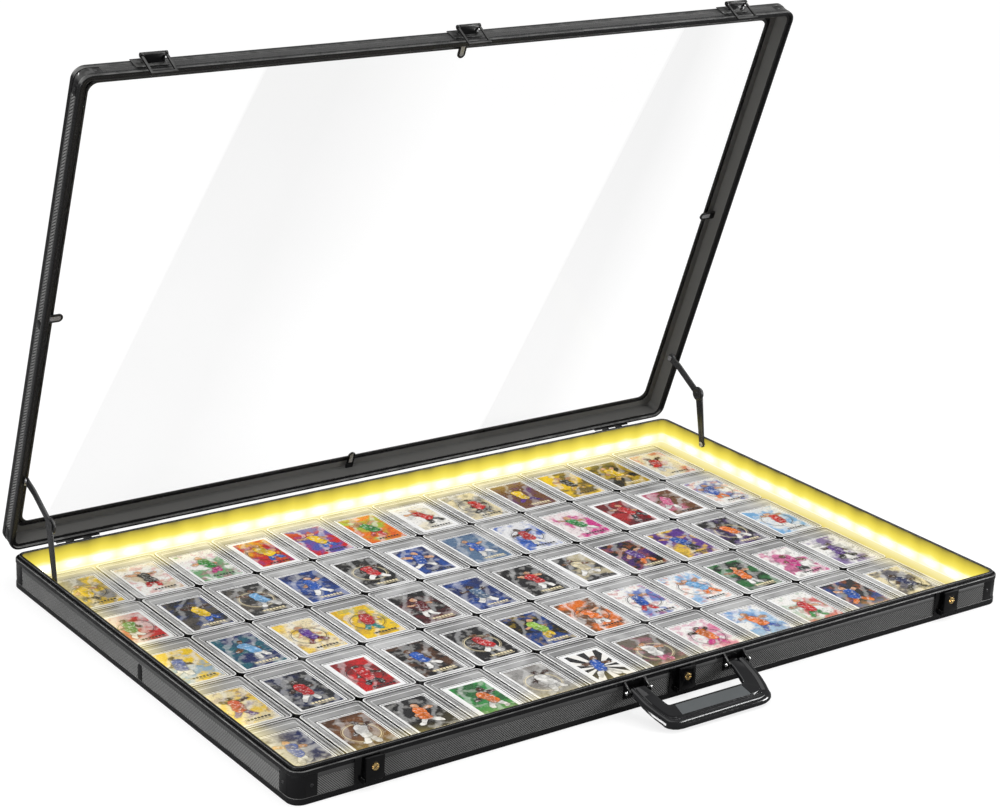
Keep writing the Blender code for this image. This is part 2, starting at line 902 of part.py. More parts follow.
def latch_lever():
    """Make the middle latch's lever, bored for its pin and for the key cylinder."""
    front = -lever_front
    inner = -lever_front + lever_thickness
    heel = -lever_pivot_out + lever_knuckle_radius
    outline = [
        (front, lever_pivot_up),
        (front, base_height - lever_top_drop),
        (inner, base_height - lever_top_drop),
        (inner, lever_heel_top),
        (heel, lever_heel_foot),
        (heel, lever_pivot_up),
    ]
    outline += arc(
        -lever_pivot_out, lever_pivot_up, lever_knuckle_radius, 0, -pi / 2, corner_steps,
    )[1:]
    outline = [(-half_depth + out, up) for out, up in outline]
    half = lever_width / 2
    lever = prism(bmesh.new(), outline, 0, lever_width, side_plane(-half))
    bore = rod(
        bmesh.new(), lever_pin_radius + pin_gap, -lever_width, lever_width,
        along_x(0, front_face(lever_pivot_out), lever_pivot_up), disc_sides,
    )
    window = rod(
        bmesh.new(), key_radius + pin_gap, -half_depth - lever_front - cut_overrun,
        -half_depth - lever_front + lever_thickness + cut_overrun, along_y(0, 0, key_up),
        disc_sides,
    )
    return cut(lever, bore, window)


def key_cylinder():
    """Make the middle latch's key cylinder with its slot."""
    start = -half_depth - lever_front - key_proud
    end = -half_depth - lever_front + lever_thickness
    barrel = rod(bmesh.new(), key_radius, start, end, along_y(0, 0, key_up), disc_sides)
    slot = box(
        bmesh.new(), -key_radius, key_radius, start - cut_overrun, start + key_slot_depth,
        key_up - key_slot_width / 2, key_up + key_slot_width / 2,
    )
    return cut(barrel, slot)


def loop_pivot():
    """Give the middle loop's pivot with the lid shut."""
    return Vector((0, front_face(loop_pivot_out), base_height + loop_pivot_up))


def loop_lean():
    """Give the angle by which a resting loop leans in, so that its bar clears the plate."""
    plate_face = seat_gap + latch_plate_thickness
    bar_out = plate_face + loop_bar_seat + loop_thickness / 2
    return asin((loop_pivot_out - bar_out) / loop_length)


def latch_loop():
    """Make the middle loop hanging straight down from its pivot: two arms and a bar."""
    pivot = loop_pivot()
    half = loop_width / 2
    inner = half - loop_arm_width
    low = pivot.z - loop_length - loop_bar_width / 2
    bar_top = pivot.z - loop_length + loop_bar_width / 2
    near = pivot.y - loop_thickness / 2
    far = pivot.y + loop_thickness / 2
    frame = box(bmesh.new(), -half, half, near, far, low, pivot.z)
    window = box(
        bmesh.new(), -inner, inner, near - cut_overrun, far + cut_overrun, bar_top,
        pivot.z + cut_overrun,
    )
    frame = cut(frame, window)
    eyes = []
    holes = []
    for sign in (-1, 1):
        start = min(sign * inner, sign * half)
        end = max(sign * inner, sign * half)
        middle = along_x(0, pivot.y, pivot.z)
        eyes.append(rod(bmesh.new(), loop_eye_radius, start, end, middle, disc_sides))
        holes.append(rod(
            bmesh.new(), loop_pin_radius + pin_gap, start - cut_overrun, end + cut_overrun,
            middle, disc_sides,
        ))
    return cut(joined(frame, *eyes), *holes)


def loop_bracket():
    """Make the middle bracket on the lid: a plate, a block and the pin through the block."""
    pivot = loop_pivot()
    back = front_face(seat_gap)
    face = front_face(seat_gap + latch_plate_thickness)
    plate = box(
        bmesh.new(), -loop_plate_left, latch_plate_right, face, back,
        base_height + loop_plate_foot, base_height + lid_height - loop_plate_top_drop,
    )
    half = loop_width / 2 - loop_arm_width - loop_bracket_side_gap
    outline = [
        (face + join_overlap, pivot.z - loop_bracket_foot),
        (face + join_overlap, pivot.z + loop_bracket_radius),
    ]
    outline += arc(pivot.y, pivot.z, loop_bracket_radius, pi / 2, 3 * pi / 2, corner_steps)
    block = prism(bmesh.new(), outline, 0, 2 * half, side_plane(-half))
    reach = loop_width / 2 + loop_pin_end
    pin = rod(
        bmesh.new(), loop_pin_radius, -reach, reach, along_x(0, pivot.y, pivot.z), pin_sides,
    )
    return joined(plate, block, pin)


def build_latches(lid_axis):
    """Model the three draw latches: plates, levers, key cylinders, brackets and loops."""
    plate = latch_plate()
    lever = latch_lever()
    key = key_cylinder()
    bracket = loop_bracket()
    loop = latch_loop()
    pivot = loop_pivot()
    offsets = (-latch_spacing, 0, latch_spacing)
    for x, place in zip(offsets, ("left", "centre", "right")):
        add_piece("latch_plate_" + place, shifted(plate, x), "black hardware")
        add_piece(
            "loop_bracket_" + place, shifted(bracket, x), "black hardware", lid_axis,
            hinge_point,
        )
        lever_point = Vector((x, front_face(lever_pivot_out), lever_pivot_up))
        lever_axis = add_axis("lever_axis_" + place, lever_point, (0, 0, 0))
        add_piece(
            "latch_lever_" + place, shifted(lever, x), "black hardware", lever_axis,
            lever_point, smooth=True,
        )
        key_point = Vector((x, front_face(lever_front), key_up))
        key_axis = add_axis(
            "key_axis_" + place, key_point, (0, 0, 0), lever_axis, lever_point,
        )
        add_piece(
            "key_cylinder_" + place, shifted(key, x), "brass", key_axis, key_point,
            smooth=True,
        )
        loop_point = pivot + Vector((x, 0, 0))
        loop_axis = add_axis(
            "loop_axis_" + place, loop_point, (loop_lean(), 0, 0), lid_axis, hinge_point,
        )
        add_piece(
            "latch_loop_" + place, shifted(loop, x), "black hardware", loop_axis, loop_point,
            smooth=True,
        )


def handle_pivot():
    """Give the middle of the handle's pivot line."""
    return Vector((0, front_face(handle_pivot_out), handle_pivot_up))


def handle_bracket():
    """Make the right handle bracket: a plate with two cheeks and their pin."""
    pivot = handle_pivot()
    inner = handle_arm_width / 2 + handle_cheek_gap
    outer = inner + handle_cheek_thickness
    back = front_face(seat_gap)
    face = front_face(seat_gap + handle_plate_thickness)
    centre = handle_bracket_spacing
    plate = box(
        bmesh.new(), centre - outer, centre + outer, face, back, handle_cheek_foot,
        handle_cheek_top,
    )
    outline = [
        (face + join_overlap, handle_cheek_foot),
        (face + join_overlap, handle_cheek_top),
    ]
    outline += arc(
        pivot.y, pivot.z, handle_cheek_nose_radius, pi / 2, 3 * pi / 2, corner_steps,
    )
    cheeks = []
    for start in (centre - outer, centre + inner):
        cheeks.append(prism(
            bmesh.new(), outline, 0, handle_cheek_thickness, side_plane(start),
        ))
    reach = outer + handle_pin_end
    pin = rod(
        bmesh.new(), handle_pin_radius, -reach, reach, along_x(centre, pivot.y, pivot.z),
        pin_sides,
    )
    return joined(plate, *cheeks, pin)


def handle_outline():
    """Give the handle's outer plan as (x, reach) points, from left arm to right arm."""
    outer = handle_bracket_spacing + handle_arm_width / 2
    shoulder_x = outer - handle_shoulder_draw
    front_x = outer - handle_front_draw
    right = [
        (outer, -handle_thickness / 2),
        (outer, handle_neck - handle_shoulder_draw),
    ]
    steps = corner_steps
    for step in range(steps + 1):
        angle = pi / 2 * step / steps
        x = front_x + (shoulder_x - front_x) * cos(angle)
        reach = handle_shoulder + (handle_reach - handle_shoulder) * sin(angle)
        right.append((x, reach))
    left = [(-x, reach) for x, reach in reversed(right)]
    return right + left


def carry_handle():
    """Make the handle lying level: an outline plate with a window and a raised grip."""
    pivot = handle_pivot()
    frame = Matrix(((1, 0, 0, 0), (0, -1, 0, pivot.y), (0, 0, 1, pivot.z), (0, 0, 0, 1)))
    half = handle_thickness / 2
    inner_x = handle_bracket_spacing - handle_arm_width / 2
    clear_of_cheek = 2 * handle_cheek_nose_radius
    window = [
        (-inner_x, -half),
        (-inner_x, clear_of_cheek),
        (handle_grip_inset - inner_x, handle_neck),
        (inner_x - handle_grip_inset, handle_neck),
        (inner_x, clear_of_cheek),
        (inner_x, -half),
    ]
    body = prism(bmesh.new(), handle_outline() + window, -half, half, frame)
    edges = [edge for edge in body.edges if abs(edge.verts[0].co.z - edge.verts[1].co.z) < half]
    close_mesh(body)
    bmesh.ops.bevel(
        body, geom=edges, offset=handle_edge_bevel, segments=2, profile=0.5,
        affect="EDGES", clamp_overlap=True,
    )
    grip_front = handle_reach - handle_grip_inset
    grip_half = handle_bracket_spacing - handle_arm_width / 2 - handle_grip_inset
    grip_back = handle_neck + handle_edge_bevel
    grip = prism(
        bmesh.new(),
        ((-grip_half, grip_back), (grip_half, grip_back),
         (grip_half, grip_front), (-grip_half, grip_front)),
        -half - handle_grip_rise, half + handle_grip_rise, frame,
    )
    close_mesh(grip)
    bmesh.ops.bevel(
        grip, geom=list(grip.edges), offset=handle_grip_radius, segments=2, profile=0.5,
        affect="EDGES", clamp_overlap=True,
    )
    bore = rod(
        bmesh.new(), handle_pin_radius + pin_gap, -case_width, case_width,
        along_x(0, pivot.y, pivot.z), disc_sides,
    )
    return cut(joined(body, grip), bore)


def build_handle():
    """Model the handle and its two brackets."""
    bracket = handle_bracket()
    for place, sign in left_and_right:
        shape = reflected(bracket, sign)
        add_piece("handle_bracket_" + place, shape, "black hardware", smooth=True)
    pivot = handle_pivot()
    axis = add_axis("handle_axis", pivot, (handle_rest_tilt, 0, 0))
    add_piece("carry_handle", carry_handle(), "handle plastic", axis, pivot, smooth=True)


def opened(point):
    """Turn a (y, z) point of the shut lid about the hinge line to the open lid."""
    y = point[0] - hinge_y
    z = point[1] - hinge_z
    turn = -lid_open_angle
    return (
        hinge_y + y * cos(turn) - z * sin(turn),
        hinge_z + y * sin(turn) + z * cos(turn),
    )


def elbow_between(foot, head):
    """Give the (y, z) of the elbow in front of a foot and a head pivot."""
    across = head[0] - foot[0]
    rise = head[1] - foot[1]
    distance = hypot(across, rise)
    square = stay_lower_length ** 2 - stay_upper_length ** 2 + distance ** 2
    reach = square / (2 * distance)
    offset = sqrt(stay_lower_length ** 2 - reach ** 2)
    return (
        foot[0] + (reach * across - offset * rise) / distance,
        foot[1] + (reach * rise + offset * across) / distance,
    )


def stay_geometry():
    """Give the stays' shut foot, head and elbow points and the turns from shut to open."""
    foot = (stay_foot_y, stay_foot_up)
    head_shut = (stay_lid_y, base_height + stay_lid_up)
    elbow_shut = elbow_between(foot, head_shut)
    head_open = opened(head_shut)
    elbow_open = elbow_between(foot, head_open)
    lower_shut = atan2(elbow_shut[1] - foot[1], elbow_shut[0] - foot[0]) % (2 * pi)
    lower_open = atan2(elbow_open[1] - foot[1], elbow_open[0] - foot[0]) % (2 * pi)
    upper_shut = atan2(elbow_shut[1] - head_shut[1], elbow_shut[0] - head_shut[0])
    upper_open = atan2(elbow_open[1] - head_open[1], elbow_open[0] - head_open[0])
    lower_turn = lower_open - lower_shut
    upper_turn = upper_open - upper_shut + lid_open_angle
    return foot, head_shut, elbow_shut, lower_turn, upper_turn


def arm_outline(points, widths):
    """Give the outline of a flat arm along (y, z) points with a round at each end."""
    def direction(start, end):
        across = end[0] - start[0]
        rise = end[1] - start[1]
        length = hypot(across, rise)
        return across / length, rise / length

    left = []
    right = []
    for index, (point, width) in enumerate(zip(points, widths)):
        before = direction(points[max(index - 1, 0)], points[max(index, 1)])
        last = len(points) - 1
        after = direction(points[min(index, last - 1)], points[min(index + 1, last)])
        across = before[0] + after[0]
        rise = before[1] + after[1]
        length = hypot(across, rise)
        normal = (-rise / length * width / 2, across / length * width / 2)
        left.append((point[0] + normal[0], point[1] + normal[1]))
        right.append((point[0] - normal[0], point[1] - normal[1]))
    start_angle = atan2(left[0][1] - points[0][1], left[0][0] - points[0][0])
    end_angle = atan2(right[-1][1] - points[-1][1], right[-1][0] - points[-1][0])
    start_round = arc(*points[0], widths[0] / 2, start_angle, start_angle + pi, corner_steps)
    end_round = arc(*points[-1], widths[-1] / 2, end_angle, end_angle + pi, corner_steps)
    return start_round + right[1:-1] + end_round + list(reversed(left[1:-1]))


def build_stays(lid_axis):
    """Model the folding stays: two arms each side, with a rivet at each fixed end."""
    foot, head, elbow, lower_turn, upper_turn = stay_geometry()
    strip_face = half_width - inner_skin - led_strip_thickness
    lower_outer = strip_face - seat_gap
    lower_inner = lower_outer - stay_arm_thickness
    upper_outer = lower_inner - seat_gap
    upper_inner = upper_outer - stay_arm_thickness
    hole = stay_pin_radius + pin_gap

    lower = prism(
        bmesh.new(), arm_outline((foot, elbow), (stay_foot_width, stay_elbow_width)), 0,
        stay_arm_thickness, side_plane(lower_inner),
    )
    lower_hole = rod(
        bmesh.new(), hole, lower_inner - cut_overrun, lower_outer + cut_overrun,
        along_x(0, *foot), pin_sides,
    )
    lower = cut(lower, lower_hole)

    length = hypot(elbow[0] - head[0], elbow[1] - head[1])
    along = ((elbow[0] - head[0]) / length, (elbow[1] - head[1]) / length)
    knee = (
        head[0] + along[0] * stay_knee_distance + along[1] * stay_knee_rise,
        head[1] + along[1] * stay_knee_distance - along[0] * stay_knee_rise,
    )
    widths = (stay_upper_width, stay_upper_width, stay_upper_width)
    upper = prism(
        bmesh.new(), arm_outline((head, knee, elbow), widths), 0, stay_arm_thickness,
        side_plane(upper_inner),
    )
    disc = rod(
        bmesh.new(), stay_disc_radius, upper_inner, upper_outer, along_x(0, *elbow), disc_sides,
    )
    rivet = rod(
        bmesh.new(), stay_head_radius, upper_inner - stay_head_thickness,
        upper_inner + join_overlap, along_x(0, *elbow), pin_sides,
    )
    upper_hole = rod(
        bmesh.new(), hole, upper_inner - cut_overrun, upper_outer + cut_overrun,
        along_x(0, *head), pin_sides,
    )
    upper = cut(joined(upper, disc, rivet), upper_hole)

    boss_start = half_width - inner_skin
    lower_head = lower_inner - seat_gap
    profile = (
        (0, boss_start),
        (stay_boss_radius, boss_start),
        (stay_boss_radius, strip_face),
        (stay_pin_radius, strip_face),
        (stay_pin_radius, lower_head),
        (stay_head_radius, lower_head),
        (stay_head_radius, lower_head - stay_head_thickness),
        (0, lower_head - stay_head_thickness),
    )
    foot_rivet = turned(bmesh.new(), profile, along_x(0, *foot), pin_sides)
    upper_head = upper_inner - seat_gap
    profile = (
        (0, boss_start),
        (stay_boss_radius, boss_start),
        (stay_boss_radius, upper_outer + seat_gap),
        (stay_pin_radius, upper_outer + seat_gap),
        (stay_pin_radius, upper_head),
        (stay_head_radius, upper_head),
        (stay_head_radius, upper_head - stay_head_thickness),
        (0, upper_head - stay_head_thickness),
    )
    lid_rivet = turned(bmesh.new(), profile, along_x(0, *head), pin_sides)

    for place, sign in left_and_right:
        add_piece(
            "stay_foot_rivet_" + place, reflected(foot_rivet, sign), "grey steel", smooth=True,
        )
        add_piece(
            "stay_lid_rivet_" + place, reflected(lid_rivet, sign), "grey steel", lid_axis,
            hinge_point, smooth=True,
        )
        foot_point = Vector((sign * lower_outer, *foot))
        foot_axis = add_axis("stay_foot_axis_" + place, foot_point, (lower_turn, 0, 0))
        add_piece(
            "stay_lower_arm_" + place, reflected(lower, sign), "black hardware", foot_axis,
            foot_point, smooth=True,
        )
        head_point = Vector((sign * upper_outer, *head))
        head_axis = add_axis(
            "stay_lid_axis_" + place, head_point, (upper_turn, 0, 0), lid_axis, hinge_point,
        )
        add_piece(
            "stay_upper_arm_" + place, reflected(upper, sign), "black hardware", head_axis,
            head_point, smooth=True,
        )


def build_lid(lid_axis):
    """Model the lid's frames, walls, corners and glass."""
    edge_frame = frame_ring(lid_edge_profile())
    add_piece("lid_edge_frame", edge_frame, "black rail", lid_axis, hinge_point, smooth=True)
    glass_frame = frame_ring(glass_rail_profile())
    add_piece(
        "lid_glass_frame", glass_frame, "black rail", lid_axis, hinge_point, smooth=True,
    )
    top = base_height + lid_height
    heights = {
        "low band": base_height + lid_edge_band,
        "low web": base_height + lid_web_top,
        "low inner": base_height + lid_inner_top,
        "high inner": top - glass_rail_band,
        "high band": top - glass_rail_band,
        "high web": top - glass_rail_web,
    }
    for side in sides:
        wall = wall_panel(side, heights)
        add_piece("lid_wall_" + side, wall, "black panel", lid_axis, hinge_point)
    add_corner_caps("lid", heights, lid_axis, hinge_point)
    plate = prism(
        bmesh.new(), rounded_rectangle(inner_skin), base_height + glass_low,
        base_height + glass_top, Matrix.Identity(4),
    )
    add_piece("glass_panel", plate, "glass", lid_axis, hinge_point)


def centre_on_origin():
    """Move the case along Y, so that the middle of the open case's box is at y = 0."""
    bpy.context.view_layer.update()
    pieces = [piece for piece in bpy.data.objects if piece.type == "MESH"]
    depths = []
    for piece in pieces:
        depths += [(piece.matrix_world @ vertex.co).y for vertex in piece.data.vertices]
    middle = (min(depths) + max(depths)) / 2
    for placed in bpy.data.objects:
        if placed.parent is None:
            placed.location.y -= middle


def main():
    """Build the whole case."""
    clear_scene()
    define_materials()
    lid_axis = add_axis("lid_axis", hinge_point, (-lid_open_angle, 0, 0))
    build_base_shell()
    build_light()
    build_holders()
    build_hinges(lid_axis)
    build_latches(lid_axis)
    build_handle()
    build_stays(lid_axis)
    build_lid(lid_axis)
    centre_on_origin()


main()
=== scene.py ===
import json
import random
from functools import partial
from math import acos, ceil, cos, pi, radians, sin, tan

import bmesh
import bpy
from mathutils import Matrix, Vector


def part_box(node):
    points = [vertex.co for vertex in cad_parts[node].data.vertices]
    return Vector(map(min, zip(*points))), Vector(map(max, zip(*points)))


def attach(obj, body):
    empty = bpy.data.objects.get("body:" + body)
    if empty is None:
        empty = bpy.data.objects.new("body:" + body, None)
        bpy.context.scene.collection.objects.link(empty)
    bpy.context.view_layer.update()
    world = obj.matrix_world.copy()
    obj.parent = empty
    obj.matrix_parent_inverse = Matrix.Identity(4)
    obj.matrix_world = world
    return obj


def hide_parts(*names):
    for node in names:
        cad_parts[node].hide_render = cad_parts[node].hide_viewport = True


# Looks of the trading card display case. Shapes are drawn with the case shut, round
# the centre of its plan, then moved into the frame: base pieces along Y, lid pieces
# also turned open about the hinge line.

mm = 0.001
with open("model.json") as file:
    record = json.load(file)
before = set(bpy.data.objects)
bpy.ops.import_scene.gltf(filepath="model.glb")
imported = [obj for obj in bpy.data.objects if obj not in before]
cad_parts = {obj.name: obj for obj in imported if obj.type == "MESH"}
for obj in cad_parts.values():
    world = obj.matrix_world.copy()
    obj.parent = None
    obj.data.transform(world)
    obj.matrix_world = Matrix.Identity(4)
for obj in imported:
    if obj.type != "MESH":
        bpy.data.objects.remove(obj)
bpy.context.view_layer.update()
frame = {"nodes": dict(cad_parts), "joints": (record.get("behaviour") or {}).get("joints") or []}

# Places read from the frame
rail_low, rail_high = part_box("base_bottom_frame")
half_width = rail_high.x
half_depth = (rail_high.y - rail_low.y) / 2
case_y = (rail_high.y + rail_low.y) / 2
joints = {joint["name"]: joint for joint in frame["joints"]}
hinge_point = Vector(joints["lid_hinge"]["pos_m"])
lid_open_angle = radians(joints["lid_hinge"]["range_deg"][1])
in_case = Matrix.Translation((0, case_y, 0))
in_lid = (
    Matrix.Translation(hinge_point)
    @ Matrix.Rotation(-lid_open_angle, 4, "X")
    @ Matrix.Translation(-hinge_point)
    @ in_case
)
homes = {"base": in_case, "lid": in_lid}
link = bpy.context.scene.collection.objects.link
latch_x = {
    place: joints["lever_" + place + "_pivot"]["pos_m"][0]
    for place in ("left", "centre", "right")
}
sides = ("front", "right", "back", "left")
left_and_right = (("left", -1), ("right", 1))

# Sizes that the scene shares with the CAD model
base_height = 33 * mm
corner_radius = 13 * mm
opening_radius = 10 * mm
cap_tab = 11 * mm
seat_gap = 0.3 * mm
ring_steps = 9
strip_face = 8 * mm
lamp_pitch = 33.3 * mm
lamp_up = 12.7 * mm


# Shader helpers: each adds to the tree that start_tree gave last

tree = None


def start_tree(owner):
    """Empty the tree of a material or of the world, for the helpers to add to."""
    global tree
    owner.use_nodes = True
    tree = owner.node_tree
    tree.nodes.clear()


def feed(made, inputs):
    """Put values, colours or other nodes' outputs into a node's inputs."""
    for name, value in inputs.items():
        socket = made.inputs[name]
        if isinstance(value, bpy.types.NodeSocket):
            tree.links.new(value, socket)
        elif isinstance(value, tuple) and len(value) == 3 and socket.type == "RGBA":
            socket.default_value = (*value, 1)
        else:
            socket.default_value = value


def node(kind, inputs=None, **settings):
    """Add a shader node with its settings and its inputs by name or number."""
    made = tree.nodes.new("ShaderNode" + kind)
    for name, value in settings.items():
        setattr(made, name, value)
    feed(made, inputs or {})
    return made


def maths(operation, *values):
    """Work out one Math operation on a value or two, or along a chain of values."""
    result = node("Math", dict(enumerate(values[:2])), operation=operation).outputs[0]
    return maths(operation, result, *values[2:]) if values[2:] else result


plus, minus, times = (partial(maths, kind) for kind in ("ADD", "SUBTRACT", "MULTIPLY"))


def vectors(operation, *values):
    """Add one Vector Math node and give its vector or number."""
    made = node("VectorMath", dict(enumerate(values)), operation=operation)
    number = operation in ("LENGTH", "DOT_PRODUCT", "DISTANCE")
    return made.outputs["Value" if number else "Vector"]


def split(vector):
    """Give the three numbers of a vector."""
    return node("SeparateXYZ", {0: vector}).outputs[:]


def object_place():
    """Give the place of a point on the object."""
    return node("TexCoord").outputs["Object"]


def own(name, kind="Color", source="OBJECT"):
    """Read a property of the object, or of the point, that wears the material."""
    return node("Attribute", attribute_type=source, attribute_name=name).outputs[kind]


def mixed(factor, first, second):
    """Mix two colours."""
    return node("Mix", {0: factor, 6: first, 7: second}, data_type="RGBA").outputs[2]


def spread(value, low, high, to_low=0.0, to_high=1.0, smooth=True):
    """Map one range of numbers to another, held at its ends."""
    return node(
        "MapRange", {0: value, 1: low, 2: high, 3: to_low, 4: to_high},
        interpolation_type="SMOOTHSTEP" if smooth else "LINEAR",
    ).outputs[0]


def noise(place, scale, detail=2.0, rough=0.5, part=0):
    """Add a noise texture and give its value, or its colour."""
    inputs = {"Vector": place, "Scale": scale, "Detail": detail, "Roughness": rough}
    return node("TexNoise", inputs).outputs[part]


def steps(value, stops):
    """Add a colour ramp from (place, colour) stops."""
    made = node("ValToRGB", {0: value})
    elements = made.color_ramp.elements
    while len(elements) < len(stops):
        elements.new(1.0)
    for element, (place, colour) in zip(elements, stops):
        element.position = place
        element.color = (*colour, 1)
    return made.outputs[0]


def tone(red, green, blue):
    """Turn a screen colour from 0 to 255 into the shader's own scale."""
    values = []
    for value in (red, green, blue):
        part = value / 255
        values.append(part / 12.92 if part <= 0.04045 else ((part + 0.055) / 1.055) ** 2.4)
    return tuple(values)


def grey(level):
    """Give a screen grey as a colour."""
    return tone(level, level, level)


def start_material(name):
    """Make a material with a bare Principled shader and give both."""
    material = bpy.data.materials.new(name)
    start_tree(material)
    shader = node("BsdfPrincipled")
    node("OutputMaterial", {0: shader.outputs[0]})
    return material, shader


# Colour of the painted highlight on rounded edges
edge_highlight_colour = (0.2, 0.2, 0.195)


def finish(
    name, colour, roughness, metal=0.0, gloss=0.5, vary=0.25, patch=18.0, grain=900.0,
    depth=0.03, edge_highlight=0.0,
):
    """Make a painted, moulded or metal finish with patches, grain and a painted highlight on its
    rounded edges.
    """
    material, shader = start_material(name)
    place = object_place()
    fine = noise(place, grain)
    dark, light = (tuple(part * (1 + way * vary) for part in colour) for way in (-1, 1))
    shade = mixed(noise(place, patch, 4.0, 0.6), dark, light)
    # Painted highlight: faces on rounded edges that turn both up and outward are lightened, in
    # patches of noise.
    if edge_highlight:
        facing = split(node("NewGeometry").outputs["Normal"])[2]
        sideways = maths("SQRT", minus(1.0, times(facing, facing)))
        shoulder = times(facing, sideways, 2.0)
        highlight_breakup = spread(noise(place, 60.0, 3.0), 0.3, 0.7, 0.35, 1.0)
        shade = mixed(times(spread(shoulder, 0.45, 0.95), highlight_breakup, edge_highlight), shade, edge_highlight_colour)
    bump = node("Bump", {"Height": fine, "Strength": 0.5, "Distance": depth * mm})
    feed(shader, {
        "Base Color": shade, "Metallic": metal, "Specular IOR Level": gloss,
        "Roughness": spread(fine, 0.3, 0.7, roughness - 0.05, roughness + 0.07, False),
        "Normal": bump.outputs[0],
    })
    return material


rail_black = finish("rail black", (0.006, 0.006, 0.0065), 0.28, gloss=0.22, edge_highlight=0.8)
trim_black = finish("trim black", (0.05, 0.05, 0.05), 0.36, gloss=0.2, grain=1400, edge_highlight=0.5)
panel_black = finish("panel black", (0.005, 0.005, 0.006), 0.5, gloss=0.1, depth=0.06)
lining_black = finish("lid lining", (0.08, 0.079, 0.076), 0.6, gloss=0.1, patch=9, vary=0.12)
cap_black = finish(
    "corner black", (0.003, 0.003, 0.0035), 0.15, gloss=0.3, grain=300, depth=0.01, edge_highlight=0.45,
)
hardware_black = finish(
    "hardware black", (0.002, 0.002, 0.0022), 0.18, gloss=0.25, edge_highlight=0.45, depth=0.01,
)
stay_black = finish("stay black", (0.016, 0.016, 0.017), 0.28, gloss=0.3, edge_highlight=0.5)
handle_black = finish(
    "handle plastic", (0.003, 0.0032, 0.004), 0.12, gloss=0.45, grain=500, depth=0.008,
)
grip_black = finish("handle grip", (0.085, 0.092, 0.095), 0.5, gloss=0.2, grain=1600)
steel_grey = finish("grey steel", (0.35, 0.35, 0.36), 0.28, metal=0.9, vary=0.1)
screw_steel = finish("screw steel", (0.75, 0.75, 0.75), 0.22, metal=1.0, vary=0.1)
brass_gold = finish("key brass", (0.72, 0.5, 0.2), 0.25, metal=1.0, vary=0.15)
# The key slots' near black is painted shade for the depth of each slot.
keyhole_shade = finish("key slot", (0.01, 0.008, 0.005), 0.4, metal=0.2)
seal_black = finish("glass seal", (0.012, 0.012, 0.012), 0.35, gloss=0.4, grain=700, depth=0.1)


def rib_finish():
    """Ribbed sheet: a painted highlight on the crests and painted shade, near black, in the
    valleys.
    """
    material, shader = start_material("rib black")
    patches = noise(object_place(), 14.0, 3.0, 0.6)
    light = mixed(patches, (0.11, 0.11, 0.11), (0.17, 0.17, 0.167))
    # The crests take the lighter colour as a painted highlight, and the valleys the near black as
    # painted shade.
    crest = spread(own("crest", "Fac", "GEOMETRY"), 0.2, 0.9)
    feed(shader, {
        "Base Color": mixed(crest, (0.0015, 0.0015, 0.0015), light), "Roughness": 0.42,
        "Specular IOR Level": 0.15,
    })
    return material


def lamp_glow(place, reach):
    """Give how much of the light strip's light falls here: 1 at the walls, 0 inside."""
    x, y, _ = split(place)
    from_side = minus(half_width - strip_face, maths("ABSOLUTE", x))
    from_end = minus(half_depth - strip_face, maths("ABSOLUTE", minus(y, case_y)))
    cloud = spread(noise(place, 22.0), 0.3, 0.7, 0.8, 1.25, False)
    distance = times(maths("MINIMUM", from_side, from_end), cloud)
    return maths("POWER", spread(distance, 0.0, reach, 1.0, 0.0, False), 2.2)


def strip_lit(shader, place, reach):
    """Let a shader glow where the light strip's light falls on it."""
    glow = lamp_glow(place, reach)
    colour = mixed(glow, tone(255, 226, 96), tone(255, 248, 190))
    feed(shader, {"Emission Color": colour, "Emission Strength": glow})


def felt_finish():
    """Black tray lining, lit by the strip along the walls."""
    material, shader = start_material("tray felt")
    place = object_place()
    lit = steps(lamp_glow(place, 60 * mm), (
        (0.0, (0.0, 0.0, 0.0)), (0.2, tone(140, 126, 56)), (0.5, tone(236, 218, 128)),
        (1.0, tone(252, 242, 182)),
    ))
    feed(shader, {
        "Base Color": mixed(noise(place, 1200.0), (0.008, 0.008, 0.008), (0.018, 0.018, 0.017)),
        "Roughness": 0.9, "Specular IOR Level": 0.1, "Emission Color": lit,
        "Emission Strength": 1.0,
    })
    return material


def plastic(name, level, roughness, amount):
    """Make one tone of the clear holders: streaked plastic with pale clouds, and the strip's light
    painted on as a glow.
    """
    material, shader = start_material(name)
    place = object_place()
    streaks = noise(vectors("MULTIPLY", place, (9, 14, 200)), 1.0, 3.0, 0.6)
    base = mixed(spread(streaks, 0.3, 0.7), grey(level - amount), grey(level + amount))
    cloud = spread(noise(place, 24.0, 3.0), 0.5, 0.75, 0.0, 0.35)
    feed(shader, {
        "Base Color": mixed(cloud, base, grey(225)), "Specular IOR Level": 0.25,
        "Roughness": spread(streaks, 0.3, 0.7, roughness, roughness + 0.12, False),
    })
    strip_lit(shader, place, 62 * mm)
    return material


# The tones that slab_loops names by number; the ridge tone is a painted highlight, and the groove
# and foot tones are painted shade
slab_tones = [plastic(*entry) for entry in (
    ("holder clear", 176, 0.2, 22), ("holder ridge highlight", 244, 0.15, 6),
    ("holder groove shade", 46, 0.2, 18), ("holder header", 150, 0.2, 22),
    ("holder foot shade", 18, 0.3, 8),
)]


# Mesh helpers

def side_frame(side):
    """Map (inward, up, along) of one side of the case to the case's own axes."""
    turns = sides.index(side)
    reach = half_depth if turns % 2 == 0 else half_width
    to_front = Matrix(((0, 0, 1, 0), (1, 0, 0, -reach), (0, 1, 0, 0), (0, 0, 0, 1)))
    return Matrix.Rotation(turns * pi / 2, 4, "Z") @ to_front


def side_length(side):
    """Give half the length of one side."""
    return half_width if side in ("front", "back") else half_depth


def add_piece(name, mesh, body, replaced=()):
    """Put a mesh in the scene as a piece that rides on a body."""
    piece = bpy.data.objects.new(name, mesh)
    link(piece)
    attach(piece, body)
    if replaced:
        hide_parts(*replaced)
    return piece


